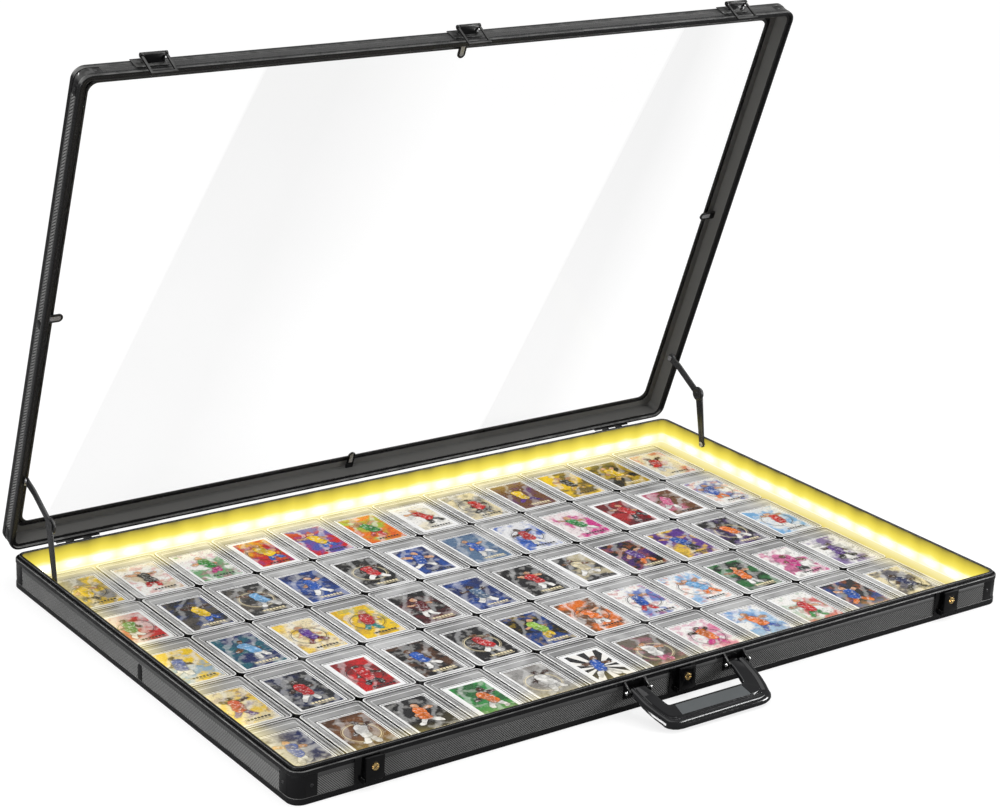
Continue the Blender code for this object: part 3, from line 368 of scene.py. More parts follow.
def place_piece(name, shape, material, body, where=None, smooth=35, replaced=()):
    """Make one piece from a shape, which is moved to its body's home or to a given place."""
    bmesh.ops.transform(shape, matrix=where or homes[body], verts=shape.verts)
    bmesh.ops.recalc_face_normals(shape, faces=shape.faces)
    mesh = bpy.data.meshes.new(name)
    shape.to_mesh(mesh)
    shape.free()
    for entry in material if isinstance(material, list) else [material]:
        mesh.materials.append(entry)
    mesh.shade_smooth()
    mesh.set_sharp_from_angle(angle=radians(smooth))
    return add_piece(name, mesh, body, replaced)


def dress_node(name, material):
    """Give a CAD node that keeps its shape a material."""
    slots = frame["nodes"][name].data.materials
    slots.clear()
    slots.append(material)


def filleted(profile):
    """Round the corners of an outline of (u, v, radius) points, in millimetres."""
    points = []
    count = len(profile)
    for index, (u, v, radius) in enumerate(profile):
        here = Vector((u, v))
        if radius == 0:
            points.append(here)
            continue
        before = (Vector(profile[index - 1][:2]) - here).normalized()
        after = (Vector(profile[(index + 1) % count][:2]) - here).normalized()
        half = acos(max(-1, min(1, before.dot(after)))) / 2
        centre = here + (before + after).normalized() * radius / sin(half)
        first = here + before * radius / tan(half) - centre
        last = here + after * radius / tan(half) - centre
        parts = 6 if radius > 1 else 3 if radius > 0.25 else 2
        turn = first.angle_signed(last)
        for step in range(parts + 1):
            angle = -turn * step / parts
            points.append(centre + Matrix.Rotation(angle, 2) @ first)
    return [(point.x * mm, point.y * mm) for point in points]


def rounded(half_x, low_y, high_y, radius, parts):
    """Give the plan points of a rounded rectangle, centred in x."""
    points = []
    for quarter in range(4):
        x = half_x - radius if quarter in (0, 3) else radius - half_x
        y = high_y - radius if quarter in (0, 1) else low_y + radius
        for step in range(parts + 1):
            angle = quarter * pi / 2 + pi / 2 * step / parts
            points.append((x + radius * cos(angle), y + radius * sin(angle)))
    return points


def join_loops(shape, loops, closed=True, material=0):
    """Add the faces between loops of vertices."""
    following = loops[1:] + loops[:1] if closed else loops[1:]
    count = len(loops[0])
    for loop, other in zip(loops, following):
        for index in range(count):
            after = (index + 1) % count
            face = shape.faces.new((loop[index], loop[after], other[after], other[index]))
            face.material_index = material


def frame_ring(outline):
    """Sweep an outline of (inset, height) round the case."""
    shape = bmesh.new()
    loops = []
    for inset, height in outline:
        radius = corner_radius - inset if inset < corner_radius else opening_radius
        reach = half_depth - inset
        loops.append([
            shape.verts.new((x, y, height))
            for x, y in rounded(half_width - inset, -reach, reach, radius, ring_steps)
        ])
    join_loops(shape, loops)
    return shape


def loft(shape, sections, where=Matrix.Identity(4)):
    """Add a skin over sections of points, closed at both ends."""
    loops = [[shape.verts.new(where @ Vector(point)) for point in points] for points in sections]
    join_loops(shape, loops, closed=False)
    shape.faces.new(list(reversed(loops[0])))
    shape.faces.new(loops[-1])
    return shape


def lathe(shape, centre, axis, profile, parts=24):
    """Turn a profile of (radius, height) in millimetres about an axis."""
    turns = [2 * pi * part / parts for part in range(parts)]
    sections = [
        [(radius * mm * cos(turn), radius * mm * sin(turn), height * mm) for turn in turns]
        for radius, height in profile
    ]
    where = Matrix.Translation(centre) @ axis.to_track_quat("Z", "Y").to_matrix().to_4x4()
    return loft(shape, sections, where)


def dome(radius, height, rings):
    """Give the profile of a low domed head for lathe."""
    turns = [pi / 2 * step / rings for step in range(rings)]
    return [(radius * cos(turn), height * sin(turn)) for turn in turns]


weld = 0.02 * mm
flat_angle = radians(1)
bevel_angle = radians(30)


def refined(name, width, material, body=None, drawn=None):
    """Stand a rounded copy in for a CAD node, with small bevels on its edges."""
    shape = bmesh.new()
    shape.from_mesh(frame["nodes"][name].data)
    if drawn:
        bmesh.ops.transform(shape, matrix=drawn, verts=shape.verts)
    bmesh.ops.remove_doubles(shape, verts=shape.verts, dist=weld)
    bmesh.ops.dissolve_limit(
        shape, angle_limit=flat_angle, verts=shape.verts, edges=shape.edges,
    )
    mesh = bpy.data.meshes.new(name + "_finish")
    shape.to_mesh(mesh)
    shape.free()
    mesh.materials.append(material)
    mesh.shade_smooth()
    piece = add_piece(name + "_finish", mesh, body or name, (name,))
    bevel = piece.modifiers.new("rounded edges", "BEVEL")
    bevel.width = width * mm
    bevel.segments = 2
    bevel.limit_method = "ANGLE"
    bevel.angle_limit = bevel_angle
    bevel.harden_normals = True


# Frames with rounded edges, as (inset, height, fillet radius) in millimetres

base_top_outline = (
    (0, 28.2, 0.2), (0.6, 28.2, 0), (0.6, 30.2, 0), (5.6, 30.2, 0), (5.6, 28.2, 0),
    (6.5, 28.2, 0.2), (6.5, 35.5, 0.5), (3.6, 35.5, 0.5), (3.6, 31.5, 0.2),
    (1.6, 31.5, 0.2), (1.6, 33, 0.35), (0, 33, 1.2),
)
base_bottom_outline = (
    (0, 0, 1.8), (14, 0, 0.3), (14, 1.2, 0.3), (6.5, 1.2, 0), (6.5, 9, 0.2),
    (5.6, 9, 0.2), (5.6, 5, 0), (0.6, 5, 0), (0.6, 7, 0), (0, 7, 0.5),
)
lid_edge_outline = (
    (0, 33.3, 0.9), (2.8, 33.3, 0.3), (2.8, 35.9, 0.2), (6.5, 35.9, 0.4), (6.5, 39.5, 0.2),
    (5.6, 39.5, 0.1), (5.6, 37.1, 0), (0.6, 37.1, 0), (0.6, 38.5, 0), (0, 38.5, 0.4),
)
glass_rail_outline = (
    (0, 48.2, 0.3), (0.6, 48.2, 0), (0.6, 50.2, 0), (5.6, 50.2, 0), (5.6, 48.2, 0),
    (6.5, 48.2, 0.3), (6.5, 53.5, 0), (19, 53.5, 0.4), (19, 55, 0.5), (0, 55, 2.4),
)
for name, outline, body in (
    ("base_top_frame", base_top_outline, "base"),
    ("base_bottom_frame", base_bottom_outline, "base"),
    ("lid_edge_frame", lid_edge_outline, "lid"),
    ("lid_glass_frame", glass_rail_outline, "lid"),
):
    place_piece(
        name + "_finish", frame_ring(filleted(outline)), rail_black, body,
        replaced=(name,),
    )


def lining(name, start, end, low, high, material, body):
    """Line the inner walls with a thin ring between two insets and two heights."""
    outline = ((start, low, 0), (end, low, 0), (end, high, 0), (start, high, 0))
    place_piece(name, frame_ring(filleted(outline)), material, body)


# Lining of the lid's inner side, between its rim and its glass
for place, start, end, low, high in (
    ("front", 7.05, 7.25, 36.0, 49.0), ("deep", 6.55, 6.75, 49.05, 53.4),
    ("flange", 6.9, 14, 52.7, 53.2),
):
    lining("lid_lining_" + place, start, end, low, high, lining_black, "lid")

# Bands and ribbed sheets between the corner caps

long_rib_pitch = 2.3 * mm
short_rib_pitch = 3.6 * mm
rib_valley = 0.86 * mm
rib_crest = 0.4 * mm


def band_end(side):
    """Give half the length that is free between the caps of one side."""
    return side_length(side) - corner_radius - cap_tab - seat_gap


def trim_strip(side, outline):
    """Make a straight band along one side between the caps."""
    end = band_end(side)
    sections = [[(u, v, along) for u, v in filleted(outline)] for along in (-end, end)]
    return loft(bmesh.new(), sections, side_frame(side))


def ribbed_sheet(side, low, high):
    """Make a sheet of fine ribs that slant at 45 degrees."""
    rib_pitch = long_rib_pitch if side in ("front", "back") else short_rib_pitch
    end = band_end(side)
    slant = high - low
    shape = bmesh.new()
    crest = shape.verts.layers.float.new("crest")
    lines = []
    for number in range(ceil((2 * end + slant) / rib_pitch) + 1):
        start = -end - slant + number * rib_pitch
        for part, inward in ((0, rib_valley), (0.3, rib_crest), (0.62, rib_crest)):
            along = start + part * rib_pitch
            line = [
                shape.verts.new((inward, height, along + high - height)) for height in (high, low)
            ]
            for vertex in line:
                vertex[crest] = 1.0 if inward == rib_crest else 0.0
            lines.append(line)
    for line, other in zip(lines, lines[1:]):
        shape.faces.new((line[0], line[1], other[1], other[0]))
    for limit, direction in ((-end, -1), (end, 1)):
        bmesh.ops.bisect_plane(
            shape, geom=shape.verts[:] + shape.edges[:] + shape.faces[:],
            plane_co=(0, 0, limit), plane_no=(0, 0, direction), clear_outer=True,
        )
    bmesh.ops.transform(shape, matrix=side_frame(side), verts=shape.verts)
    return shape


rib_black = rib_finish()
base_band = (
    (0.95, 28.1, 0), (0.6, 28.1, 0.1), (0.06, 25.0, 0.3), (0.06, 24.2, 0.2), (0.95, 23.9, 0),
)
lid_band_low = (
    (0.95, 38.6, 0), (0.95, 40.6, 0), (0.3, 40.4, 0.2), (0.1, 38.9, 0.2), (0.4, 38.6, 0),
)
lid_band_high = (
    (0.95, 46.4, 0), (0.3, 46.6, 0.2), (0.1, 47.9, 0.2), (0.4, 48.1, 0), (0.95, 48.1, 0),
)
for side in sides:
    for name, shape, material, body, smooth in (
        ("base_band_", trim_strip(side, base_band), trim_black, "base", 35),
        ("base_ribs_", ribbed_sheet(side, 7.05 * mm, 24.1 * mm), rib_black, "base", 20),
        ("lid_band_low_", trim_strip(side, lid_band_low), trim_black, "lid", 35),
        ("lid_band_high_", trim_strip(side, lid_band_high), trim_black, "lid", 35),
        ("lid_ribs_", ribbed_sheet(side, 40.5 * mm, 46.5 * mm), rib_black, "lid", 20),
    ):
        place_piece(name + side, shape, material, body, smooth=smooth)

# Hardware, corner caps and stays: CAD shapes with rounded edges

cap_step = 0.35 * mm
narrower = Matrix.Diagonal((1 - cap_step / half_width, 1 - cap_step / half_depth, 1, 1))
for body, home in homes.items():
    for corner in ("front_left", "front_right", "back_left", "back_right"):
        refined(
            body + "_corner_cap_" + corner, 0.25, cap_black, body,
            home @ narrower @ home.inverted(),
        )
for place in latch_x:
    refined("latch_plate_" + place, 0.25, hardware_black, "base")
    refined("latch_lever_" + place, 0.35, hardware_black)
    refined("key_cylinder_" + place, 0.15, brass_gold)
    refined("loop_bracket_" + place, 0.25, hardware_black, "lid")
    refined("latch_loop_" + place, 0.3, hardware_black)
for place, sign in left_and_right:
    refined("handle_bracket_" + place, 0.4, hardware_black, "base")
    refined("hinge_base_leaf_" + place, 0.2, hardware_black, "base")
    refined("hinge_lid_leaf_" + place, 0.2, hardware_black, "lid")
    refined("stay_lower_arm_" + place, 0.25, stay_black)
    refined("stay_upper_arm_" + place, 0.25, stay_black)
    refined("stay_foot_rivet_" + place, 0.2, steel_grey, "base")
    refined("stay_lid_rivet_" + place, 0.2, steel_grey, "lid")
refined("power_socket", 0.2, hardware_black, "base")

# Handle: a C-shaped body lofted between its window and its outline, with a flat grip
# panel, a groove and a round rim

# (outer x, outer reach, window x, window reach, share of the full thickness)
handle_path = [
    (71.3, -3.1, 50.7, -3.1, 0.12), (71.5, -2.4, 50.5, -2.4, 0.5), (71.5, -0.8, 50.5, -0.8, 0.64),
    (71.5, 7.2, 50.5, 7.2, 0.66), (71.5, 14, 49.2, 14.2, 0.7), (71.5, 20, 48.2, 19.5, 0.76),
    (70.6, 27, 47.2, 24.5, 0.84), (68.4, 37, 46.4, 27.2, 0.92), (65.5, 46, 45.6, 28, 0.97),
    (64.9, 49.4, 45.2, 28, 1), (62.6, 52.2, 44.8, 28, 1), (59.0, 54.6, 44.2, 28, 1),
    (54.0, 56.4, 43.4, 28, 1), (48.5, 57, 42.4, 28, 1), (43.5, 57, 40.5, 28, 1),
    (30, 57, 28, 28, 1), (0, 57, 0, 28, 1),
]
# (share of the way from window to outline, height) over the upper half of a section
handle_section = (
    (0.0, 1.4), (0.02, 2.5), (0.05, 3.0), (0.1, 3.2), (0.56, 3.7), (0.6, 2.7), (0.65, 2.7),
    (0.71, 3.9), (0.77, 4.5), (0.84, 4.5), (0.91, 3.7), (0.965, 2.2), (1.0, 0.0),
)
panel_edge = 3
grip_reach = 41.0


def handle_mesh():
    """Loft the handle lying level, with its pivot at the origin."""
    shape = bmesh.new()
    under = [(share, -height) for share, height in reversed(handle_section[:-1])]
    section = list(handle_section) + under
    path = handle_path + [(-x, reach, -u, v, size) for x, reach, u, v, size in handle_path[-2::-1]]
    loops = []
    for outer_x, outer_reach, inner_x, inner_reach, size in path:
        loops.append([
            shape.verts.new((
                (inner_x + (outer_x - inner_x) * share) * mm,
                -(inner_reach + (outer_reach - inner_reach) * share) * mm, height * size * mm,
            ))
            for share, height in section
        ])
    count = len(section)
    for loop, other in zip(loops, loops[1:]):
        level = max(abs(loop[0].co.x), abs(other[0].co.x)) <= grip_reach * mm
        for index in range(count):
            after = (index + 1) % count
            face = shape.faces.new((loop[index], loop[after], other[after], other[index]))
            on_panel = index in (panel_edge, count - 2 - panel_edge)
            face.material_index = 1 if level and on_panel else 0
    shape.faces.new(loops[0])
    shape.faces.new(list(reversed(loops[-1])))
    return shape


handle_pivot = Vector(joints["handle_pivot"]["pos_m"])
handle_rest_tilt = radians(20)
place_piece(
    "carry_handle_finish", handle_mesh(), [handle_black, grip_black], "carry_handle",
    Matrix.Translation(handle_pivot) @ Matrix.Rotation(handle_rest_tilt, 4, "X"),
    smooth=40, replaced=("carry_handle",),
)

# Bright ends of the handle's pins, key slots and elbow caps

as_drawn = Matrix.Identity(4)
pin_profile = ((2.0, -0.3), (2.0, 0.7), (1.7, 1.1), (1.1, 1.3), (0.4, 1.3))
for place, sign in left_and_right:
    low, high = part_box("handle_bracket_" + place)
    shape = bmesh.new()
    for x, way in ((low.x, -1), (high.x, 1)):
        centre = Vector((x, handle_pivot.y, handle_pivot.z))
        lathe(shape, centre, Vector((way, 0, 0)), pin_profile, 16)
    place_piece("handle_pin_ends_" + place, shape, screw_steel, "base", as_drawn)

# Each key slot is a thin dark plate on the face of its cylinder: painted shade where the slot would
# be deep.
slot_outline = ((-2.1, -0.4), (2.1, -0.4), (2.3, 0), (2.1, 0.4), (-2.1, 0.4), (-2.3, 0))
slot_turn = Matrix.Rotation(radians(-35), 4, "Y")
for place, x in latch_x.items():
    cylinder = "key_cylinder_" + place
    low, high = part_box(cylinder)
    middle = Vector((x, low.y, (low.z + high.z) / 2))
    sections = [
        [(u * size * mm, -lift * mm, v * size * mm) for u, v in slot_outline]
        for lift, size in ((-0.1, 1.0), (0.04, 1.0), (0.06, 0.9))
    ]
    place_piece(
        "key_slot_" + place, loft(bmesh.new(), sections), keyhole_shade, cylinder,
        Matrix.Translation(middle) @ slot_turn,
    )

stay_lower_length = 61.8 * mm
stay_upper_length = 61.6 * mm
cap_profile = (
    (7.0, -0.2), (7.0, 0.25), (6.4, 0.55), (5.3, 0.55), (4.7, 0.25), (2.6, 0.2), (2.3, 0.6),
    (1.2, 0.75),
)
# The lower caps are flat, because the light strip runs close to them
flat_cap_profile = (
    (7.0, -0.2), (7.0, 0.08), (6.4, 0.15), (5.3, 0.15), (4.7, 0.08), (2.6, 0.06), (2.3, 0.15),
    (1.2, 0.18),
)


def elbow_point(place):
    """Give the open elbow of one stay from its two pivots and its arms' lengths."""
    foot = Vector(joints["stay_" + place + "_foot_pivot"]["pos_m"])
    head = Vector(joints["stay_" + place + "_lid_pivot"]["pos_m"])
    gap = Vector((head.y - foot.y, head.z - foot.z))
    along = (stay_lower_length ** 2 - stay_upper_length ** 2 + gap.length ** 2) / (2 * gap.length)
    off = (stay_lower_length ** 2 - along ** 2) ** 0.5
    way = gap.normalized()
    return foot.y + way.x * along - way.y * off, foot.z + way.y * along + way.x * off


for place, sign in left_and_right:
    y, z = elbow_point(place)
    for part, way, profile in (("lower", sign, flat_cap_profile), ("upper", -sign, cap_profile)):
        arm = "stay_" + part + "_arm_" + place
        low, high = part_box(arm)
        centre = Vector((high.x if way > 0 else low.x, y, z))
        place_piece(
            "elbow_cap_" + part + "_" + place,
            lathe(bmesh.new(), centre, Vector((way, 0, 0)), profile), stay_black, arm,
            as_drawn,
        )

# Plain CAD nodes that keep their shape

dress_node("bottom_panel", panel_black)
dress_node("tray_liner", felt_finish())
for side in sides:
    dress_node("base_wall_" + side, panel_black)
    dress_node("lid_wall_" + side, lining_black)

# Light strip: warm strip with a bright spot at each lamp, and lamp lenses on it

strip_power = 1.6
lens_power = 6.0
spot_height = 8 * mm
lamp_end_gap = 20 * mm
lens_dome = dome(2.1, 0.25, 2)


def along_wall(place):
    """Give the place along the wall that a face belongs to, and its height."""
    facing = split(node("NewGeometry").outputs["Normal"])[0]
    across = maths("GREATER_THAN", maths("ABSOLUTE", facing), 0.5)
    x, y, height = split(place)
    return node("Mix", {0: across, 2: x, 3: y}, data_type="FLOAT").outputs[0], height


def lamp_distance(along):
    """Give the distance to the nearest lamp along the wall, in lamp pitches."""
    share = maths("FRACT", plus(maths("DIVIDE", along, lamp_pitch), 0.5))
    return maths("ABSOLUTE", minus(share, 0.5))


def strip_material():
    """Glowing strip: white at each lamp and warm yellow between."""
    material, shader = start_material("warm light strip")
    place = object_place()
    along, height = along_wall(place)
    near = lamp_distance(along)
    rise = maths("DIVIDE", minus(height, lamp_up), spot_height)
    away = maths("SQRT", plus(times(near, times(near, 2.6)), times(rise, rise)))
    away = plus(away, spread(noise(place, 60.0), 0.3, 0.7, -0.12, 0.12, False))
    colour = steps(away, (
        (0.0, tone(255, 255, 250)), (0.3, tone(255, 255, 242)), (0.6, tone(255, 251, 208)),
        (1.0, tone(253, 242, 160)),
    ))
    feed(shader, {
        "Base Color": (0.4, 0.35, 0.2), "Roughness": 0.4, "Emission Color": colour,
        "Emission Strength": spread(away, 0.0, 0.5, strip_power, 1.0),
    })
    return material


def lens_material():
    """Bright lamp lens."""
    material, shader = start_material("lamp lens")
    facing = node("LayerWeight", {"Blend": 0.4}).outputs["Facing"]
    feed(shader, {
        "Base Color": (1, 0.95, 0.8), "Emission Strength": lens_power,
        "Emission Color": mixed(facing, (1, 0.98, 0.88), (1, 0.9, 0.5)),
    })
    return material


dress_node("led_strip", strip_material())
lens_bright = lens_material()
for side in sides:
    shape = bmesh.new()
    end = side_length(side) - lamp_end_gap
    where = side_frame(side)
    inward = (where.to_3x3() @ Vector((1, 0, 0))).normalized()
    axis, offset = (0, 0) if side in ("front", "back") else (1, case_y)
    for number in range(ceil(-end / lamp_pitch), int(end / lamp_pitch) + 1):
        centre = where @ Vector((strip_face, lamp_up, 0))
        centre[axis] = number * lamp_pitch - offset
        lathe(shape, centre, inward, lens_dome, 10)
    place_piece("lamp_lenses_" + side, shape, lens_bright, "base")


def glow_material():
    """Inner wall in the strip's light: white clouds by the lamps, yellow, then tan."""
    material, shader = start_material("lit inner wall")
    place = object_place()
    along, height = along_wall(place)
    level = spread(height, 15 * mm, 35.5 * mm, 0.0, 1.0, False)
    wobble = times(minus(noise(place, 38.0), 0.5), 0.22)
    scallop = times(minus(lamp_distance(along), 0.25), 0.16)
    colour = steps(plus(level, plus(wobble, scallop)), (
        (0.0, tone(255, 254, 232)), (0.12, tone(255, 250, 178)), (0.28, tone(244, 228, 96)),
        (0.56, tone(222, 204, 72)), (0.84, tone(182, 166, 60)), (1.0, tone(120, 110, 52)),
    ))
    feed(shader, {
        "Base Color": mixed(0.85, colour, grey(20)), "Roughness": 0.6,
        "Specular IOR Level": 0.1, "Emission Color": colour, "Emission Strength": 0.92,
    })
    return material


lit_wall = glow_material()
lining("lit_lining_upper", 7.05, 7.25, 17.3, 34.8, lit_wall, "base")
lining("lit_lining_lower", 7.05, 7.25, 6.3, 8.1, lit_wall, "base")

# Card holders: a stepped clear slab for each card

columns = 12
rows = 5
holder_size = (67.4, 100.8)
holder_pitch = (68.2, 101.6)
holder_first = (-384.1, 208.2)
card_size = (47.0, 74.0)
card_front_margin = 5.4

# Loops of a slab from its foot inwards: side, front and back insets, height, corner
# radius, and the tone of the band that follows
slab_loops = (
    (0.8, 0.8, 0.8, 6.5, 5.0, 4), (0.3, 0.3, 0.3, 7.4, 5.6, 4), (0.3, 0.3, 0.3, 10.6, 5.6, 4),
    (0.8, 0.8, 0.8, 11.1, 5.3, 1), (1.0, 1.0, 1.0, 11.3, 5.2, 1), (1.9, 1.5, 1.9, 11.3, 4.2, 2),
    (2.3, 1.6, 2.3, 11.1, 3.8, 0), (3.3, 1.9, 3.3, 11.3, 2.6, 2),
    (4.1, 2.5, 4.1, 11.0, 2.0, 0), (4.4, 2.7, 4.4, 11.2, 1.8, 3), (5.9, 3.2, 9.0, 11.2, 1.2, 1),
    (6.3, 3.4, 9.8, 11.2, 1.1, 3), (7.4, 3.8, 18.6, 11.2, 1.0, 2), (8.2, 4.3, 19.5, 11.0, 0.8, 0),
    (8.5, 4.4, 19.8, 11.3, 0.8, 1), (9.9, 5.1, 21.0, 11.3, 0.8, 2), (10.0, 5.2, 21.2, 10.1, 0.8, 2),
)
# The foot and bottom faces take the near black foot tone: painted shade in the gaps between
# holders.
foot_shade_tone = 4


def slab_mesh():
    """Make one stepped slab, closed at its foot and under its card."""
    shape = bmesh.new()
    half_x, half_y = holder_size[0] / 2, holder_size[1] / 2
    loops = []
    for side_in, front_in, back_in, height, radius, _ in slab_loops:
        points = rounded(half_x - side_in, front_in - half_y, half_y - back_in, radius, 4)
        loops.append([shape.verts.new((x * mm, y * mm, height * mm)) for x, y in points])
    for loop, other, entry in zip(loops, loops[1:], slab_loops):
        join_loops(shape, [loop, other], closed=False, material=entry[5])
    shape.faces.new(list(reversed(loops[0]))).material_index = foot_shade_tone
    shape.faces.new(loops[-1]).material_index = foot_shade_tone
    return shape


# Card prints: one material that reads each card's own inks and layout

limbs = (
    ("head", "head", 0.05, "limb"), ("chest", "hand_a", 0.032, "limb"),
    ("chest", "hand_b", 0.032, "limb"), ("hip", "foot_a", 0.04, "accent"),
    ("hip", "foot_b", 0.04, "accent"), ("chest", "hip", 0.082, "main"),
)

# Widths on a card 1 high: the dark edge of a stroke, and where a printed edge is soft
dark_edge = 0.022
soft = 0.004


def band(value, low, high):
    """Give 1 between two values and 0 outside them, with soft edges."""
    return times(spread(value, low - soft, low + soft), spread(value, high + soft, high - soft))


def stroke_distance(point, start, end):
    """Give the distance from a point to the line between two of the card's points."""
    first = own(start, "Vector")
    if start == end:
        return vectors("DISTANCE", point, first)
    along = vectors("SUBTRACT", own(end, "Vector"), first)
    away = vectors("SUBTRACT", point, first)
    share = maths(
        "DIVIDE", vectors("DOT_PRODUCT", away, along), vectors("DOT_PRODUCT", along, along),
    )
    held = node("Clamp", {0: share}).outputs[0]
    step = node("VectorMath", {0: along, "Scale": held}, operation="SCALE").outputs[0]
    return vectors("DISTANCE", away, step)


def card_material():
    """Printed card with a generic design: ground, a figure of strokes, bars and border."""
    material, shader = start_material("card print")
    sheet = node("UVMap", uv_map="print").outputs[0]
    across, up, _ = split(sheet)
    point = vectors("MULTIPLY", sheet, (card_size[0] / card_size[1], 1, 0))
    seed = own("seed", "Fac")
    shift = node("CombineXYZ", {0: seed, 1: seed, 2: seed}).outputs[0]
    shifted = vectors("ADD", point, shift)
    wide = noise(shifted, 2.6, 3.0, 0.6)
    middle = noise(shifted, 7.0, 3.0, 0.6)
    fine = noise(shifted, 22.0, 3.0, 0.7)
    curl = noise(shifted, 9.0, 2.0, 0.5, 1)
    warp = vectors("MULTIPLY", vectors("SUBTRACT", curl, (0.5, 0.5, 0.5)), (0.1, 0.1, 0))
    bent = vectors("ADD", point, warp)
    # Ground with painterly patches, light beams and an emblem behind the figure
    busy = own("busy", "Fac")
    second = own("second")
    bar = own("bar")
    colour = mixed(times(spread(wide, 0.46, 0.58), busy), own("ground"), second)
    slant = plus(times(across, 11.0), times(up, -8.0))
    beams = maths("SINE", plus(slant, times(wide, 9.0)))
    lit = times(spread(beams, 0.5, 0.95), times(busy, 0.55))
    colour = mixed(lit, colour, grey(236))
    detail = times(spread(middle, 0.5, 0.62), busy, 0.5)
    colour = mixed(detail, colour, own("accent"))
    colour = mixed(times(spread(fine, 0.5, 0.7), 0.45), colour, grey(26))
    centred = vectors("SUBTRACT", point, (0.3175, 0.5, 0))
    x, y, _ = split(centred)
    rays = maths("GREATER_THAN", maths("SINE", times(maths("ARCTAN2", y, x), 11.0)), 0.0)
    colour = mixed(times(rays, own("burst", "Fac")), colour, second)
    out = vectors("LENGTH", centred)
    rings = plus(band(out, 0.23, 0.245), band(out, 0.258, 0.263))
    colour = mixed(times(rings, own("emblem", "Fac")), colour, bar)
    # The figure: plain strokes with a dark edge, patched like cloth in light
    for start, end, radius, ink in limbs:
        distance = stroke_distance(bent, start, end)
        edge = spread(distance, radius + dark_edge, radius + soft)
        colour = mixed(times(edge, 0.45), colour, grey(20))
        shade = mixed(spread(middle, 0.4, 0.62), own(ink), grey(30))
        shade = mixed(0.45, own(ink), shade)
        shade = mixed(times(spread(fine, 0.52, 0.66), 0.6), shade, grey(238))
        inside = spread(distance, radius + soft, radius - soft)
        colour = mixed(inside, colour, shade)
    # Plain bars at the foot
    dashes = maths("GREATER_THAN", maths("FRACT", times(across, 13.0)), 0.25)
    long_bar = times(band(up, 0.1, 0.145), band(across, 0.3, 0.86))
    colour = mixed(times(long_bar, dashes), colour, bar)
    short_bar = times(band(up, 0.068, 0.082), band(across, 0.42, 0.86))
    colour = mixed(times(short_bar, 0.8), colour, bar)
    # White edge, wider where the card has a border
    side_gap = maths("MINIMUM", across, minus(1.0, across))
    end_gap = maths("MINIMUM", up, minus(1.0, up))
    edge = maths("MINIMUM", times(side_gap, card_size[0]), times(end_gap, card_size[1]))
    width = plus(times(own("border", "Fac"), 3.0), 1.1)
    colour = mixed(maths("LESS_THAN", edge, width), colour, grey(240))
    feed(shader, {
        "Base Color": colour, "Roughness": spread(fine, 0.3, 0.7, 0.24, 0.34, False),
        "Specular IOR Level": 0.2,
    })
    strip_lit(shader, object_place(), 64 * mm)
    return material


inks = {
    "white": (236, 234, 230), "cream": (228, 214, 176), "beige": (196, 178, 148),
    "grey": (150, 148, 146), "stone": (108, 100, 90), "charcoal": (44, 44, 46),
    "black": (24, 23, 25), "yellow": (236, 196, 36), "gold": (200, 156, 50),
    "orange": (228, 116, 36), "red": (196, 36, 40), "maroon": (108, 26, 34),
    "pink": (216, 110, 150), "magenta": (196, 50, 130), "purple": (92, 54, 138),
    "navy": (32, 44, 92), "blue": (40, 88, 176), "sky": (112, 168, 214),
    "steel": (86, 112, 142), "teal": (40, 124, 122), "green": (52, 140, 70),
    "lime": (150, 190, 70), "brown": (110, 72, 46), "tan": (206, 152, 114), "umber": (70, 46, 36),
}

# Each card: layout, ground, second ground ink, main ink, accent ink, from the back row
# and from the left
card_plan = (
    "art grey yellow yellow charcoal|art white beige charcoal red|art white green green magenta|"
    "frame red yellow yellow blue|art red blue yellow blue|art orange lime green red|"
    "frame white cream red charcoal|art cream grey red charcoal|dark brown purple yellow purple|"
    "art yellow charcoal charcoal gold|dark black yellow yellow gold|art cream red red white",
    "frame red white green tan|dark charcoal stone yellow blue|dark charcoal stone sky white|"
    "dark navy blue blue tan|dark black charcoal red tan|frame navy blue blue white|"
    "dark steel navy blue tan|art blue white red white|art magenta white green white|"
    "frame maroon red red charcoal|frame brown pink pink tan|art white blue blue orange",
    "art yellow sky blue tan|dark navy teal sky white|art cream yellow purple maroon|"
    "art yellow gold red teal|dark black maroon maroon tan|dark navy blue steel tan|"
    "dark black charcoal red tan|frame charcoal cream cream tan|dark black purple purple orange|"
    "art purple yellow blue charcoal|dark black purple orange white|art sky white red brown",
    "art cream yellow red purple|dark charcoal navy red tan|frame red charcoal red black|"
    "dark black brown blue tan|dark black charcoal red tan|dark black blue lime yellow|"
    "art brown orange orange tan|art white blue blue red|art white sky sky orange|"
    "dark black green orange tan|art white magenta magenta charcoal|"
    "art white purple purple charcoal",
    "dark navy white blue white|dark brown black white tan|dark black charcoal orange tan|"
    "frame green charcoal orange tan|dark grey stone white tan|burst charcoal white blue tan|"
    "dark stone charcoal white pink|art white pink orange magenta|art white sky orange blue|"
    "art white red red green|dark charcoal blue blue orange|art cream navy navy charcoal",
)
busy_of = {"art": 0.85, "frame": 0.6, "dark": 0.5, "burst": 0.0}
card_print = card_material()
card_corner = 1.5
card_levels = (10.2, 11.0)


def card_mesh():
    """Make one card with rounded corners and a printed top."""
    shape = bmesh.new()
    prints = shape.loops.layers.uv.new("print")
    width, length = card_size
    points = rounded(width / 2, -length / 2, length / 2, card_corner, 3)
    loft(shape, [[(x * mm, y * mm, height * mm) for x, y in points] for height in card_levels])
    for face in shape.faces:
        for corner in face.loops:
            spot = corner.vert.co
            corner[prints].uv = (spot.x / (width * mm) + 0.5, spot.y / (length * mm) + 0.5)
    return shape


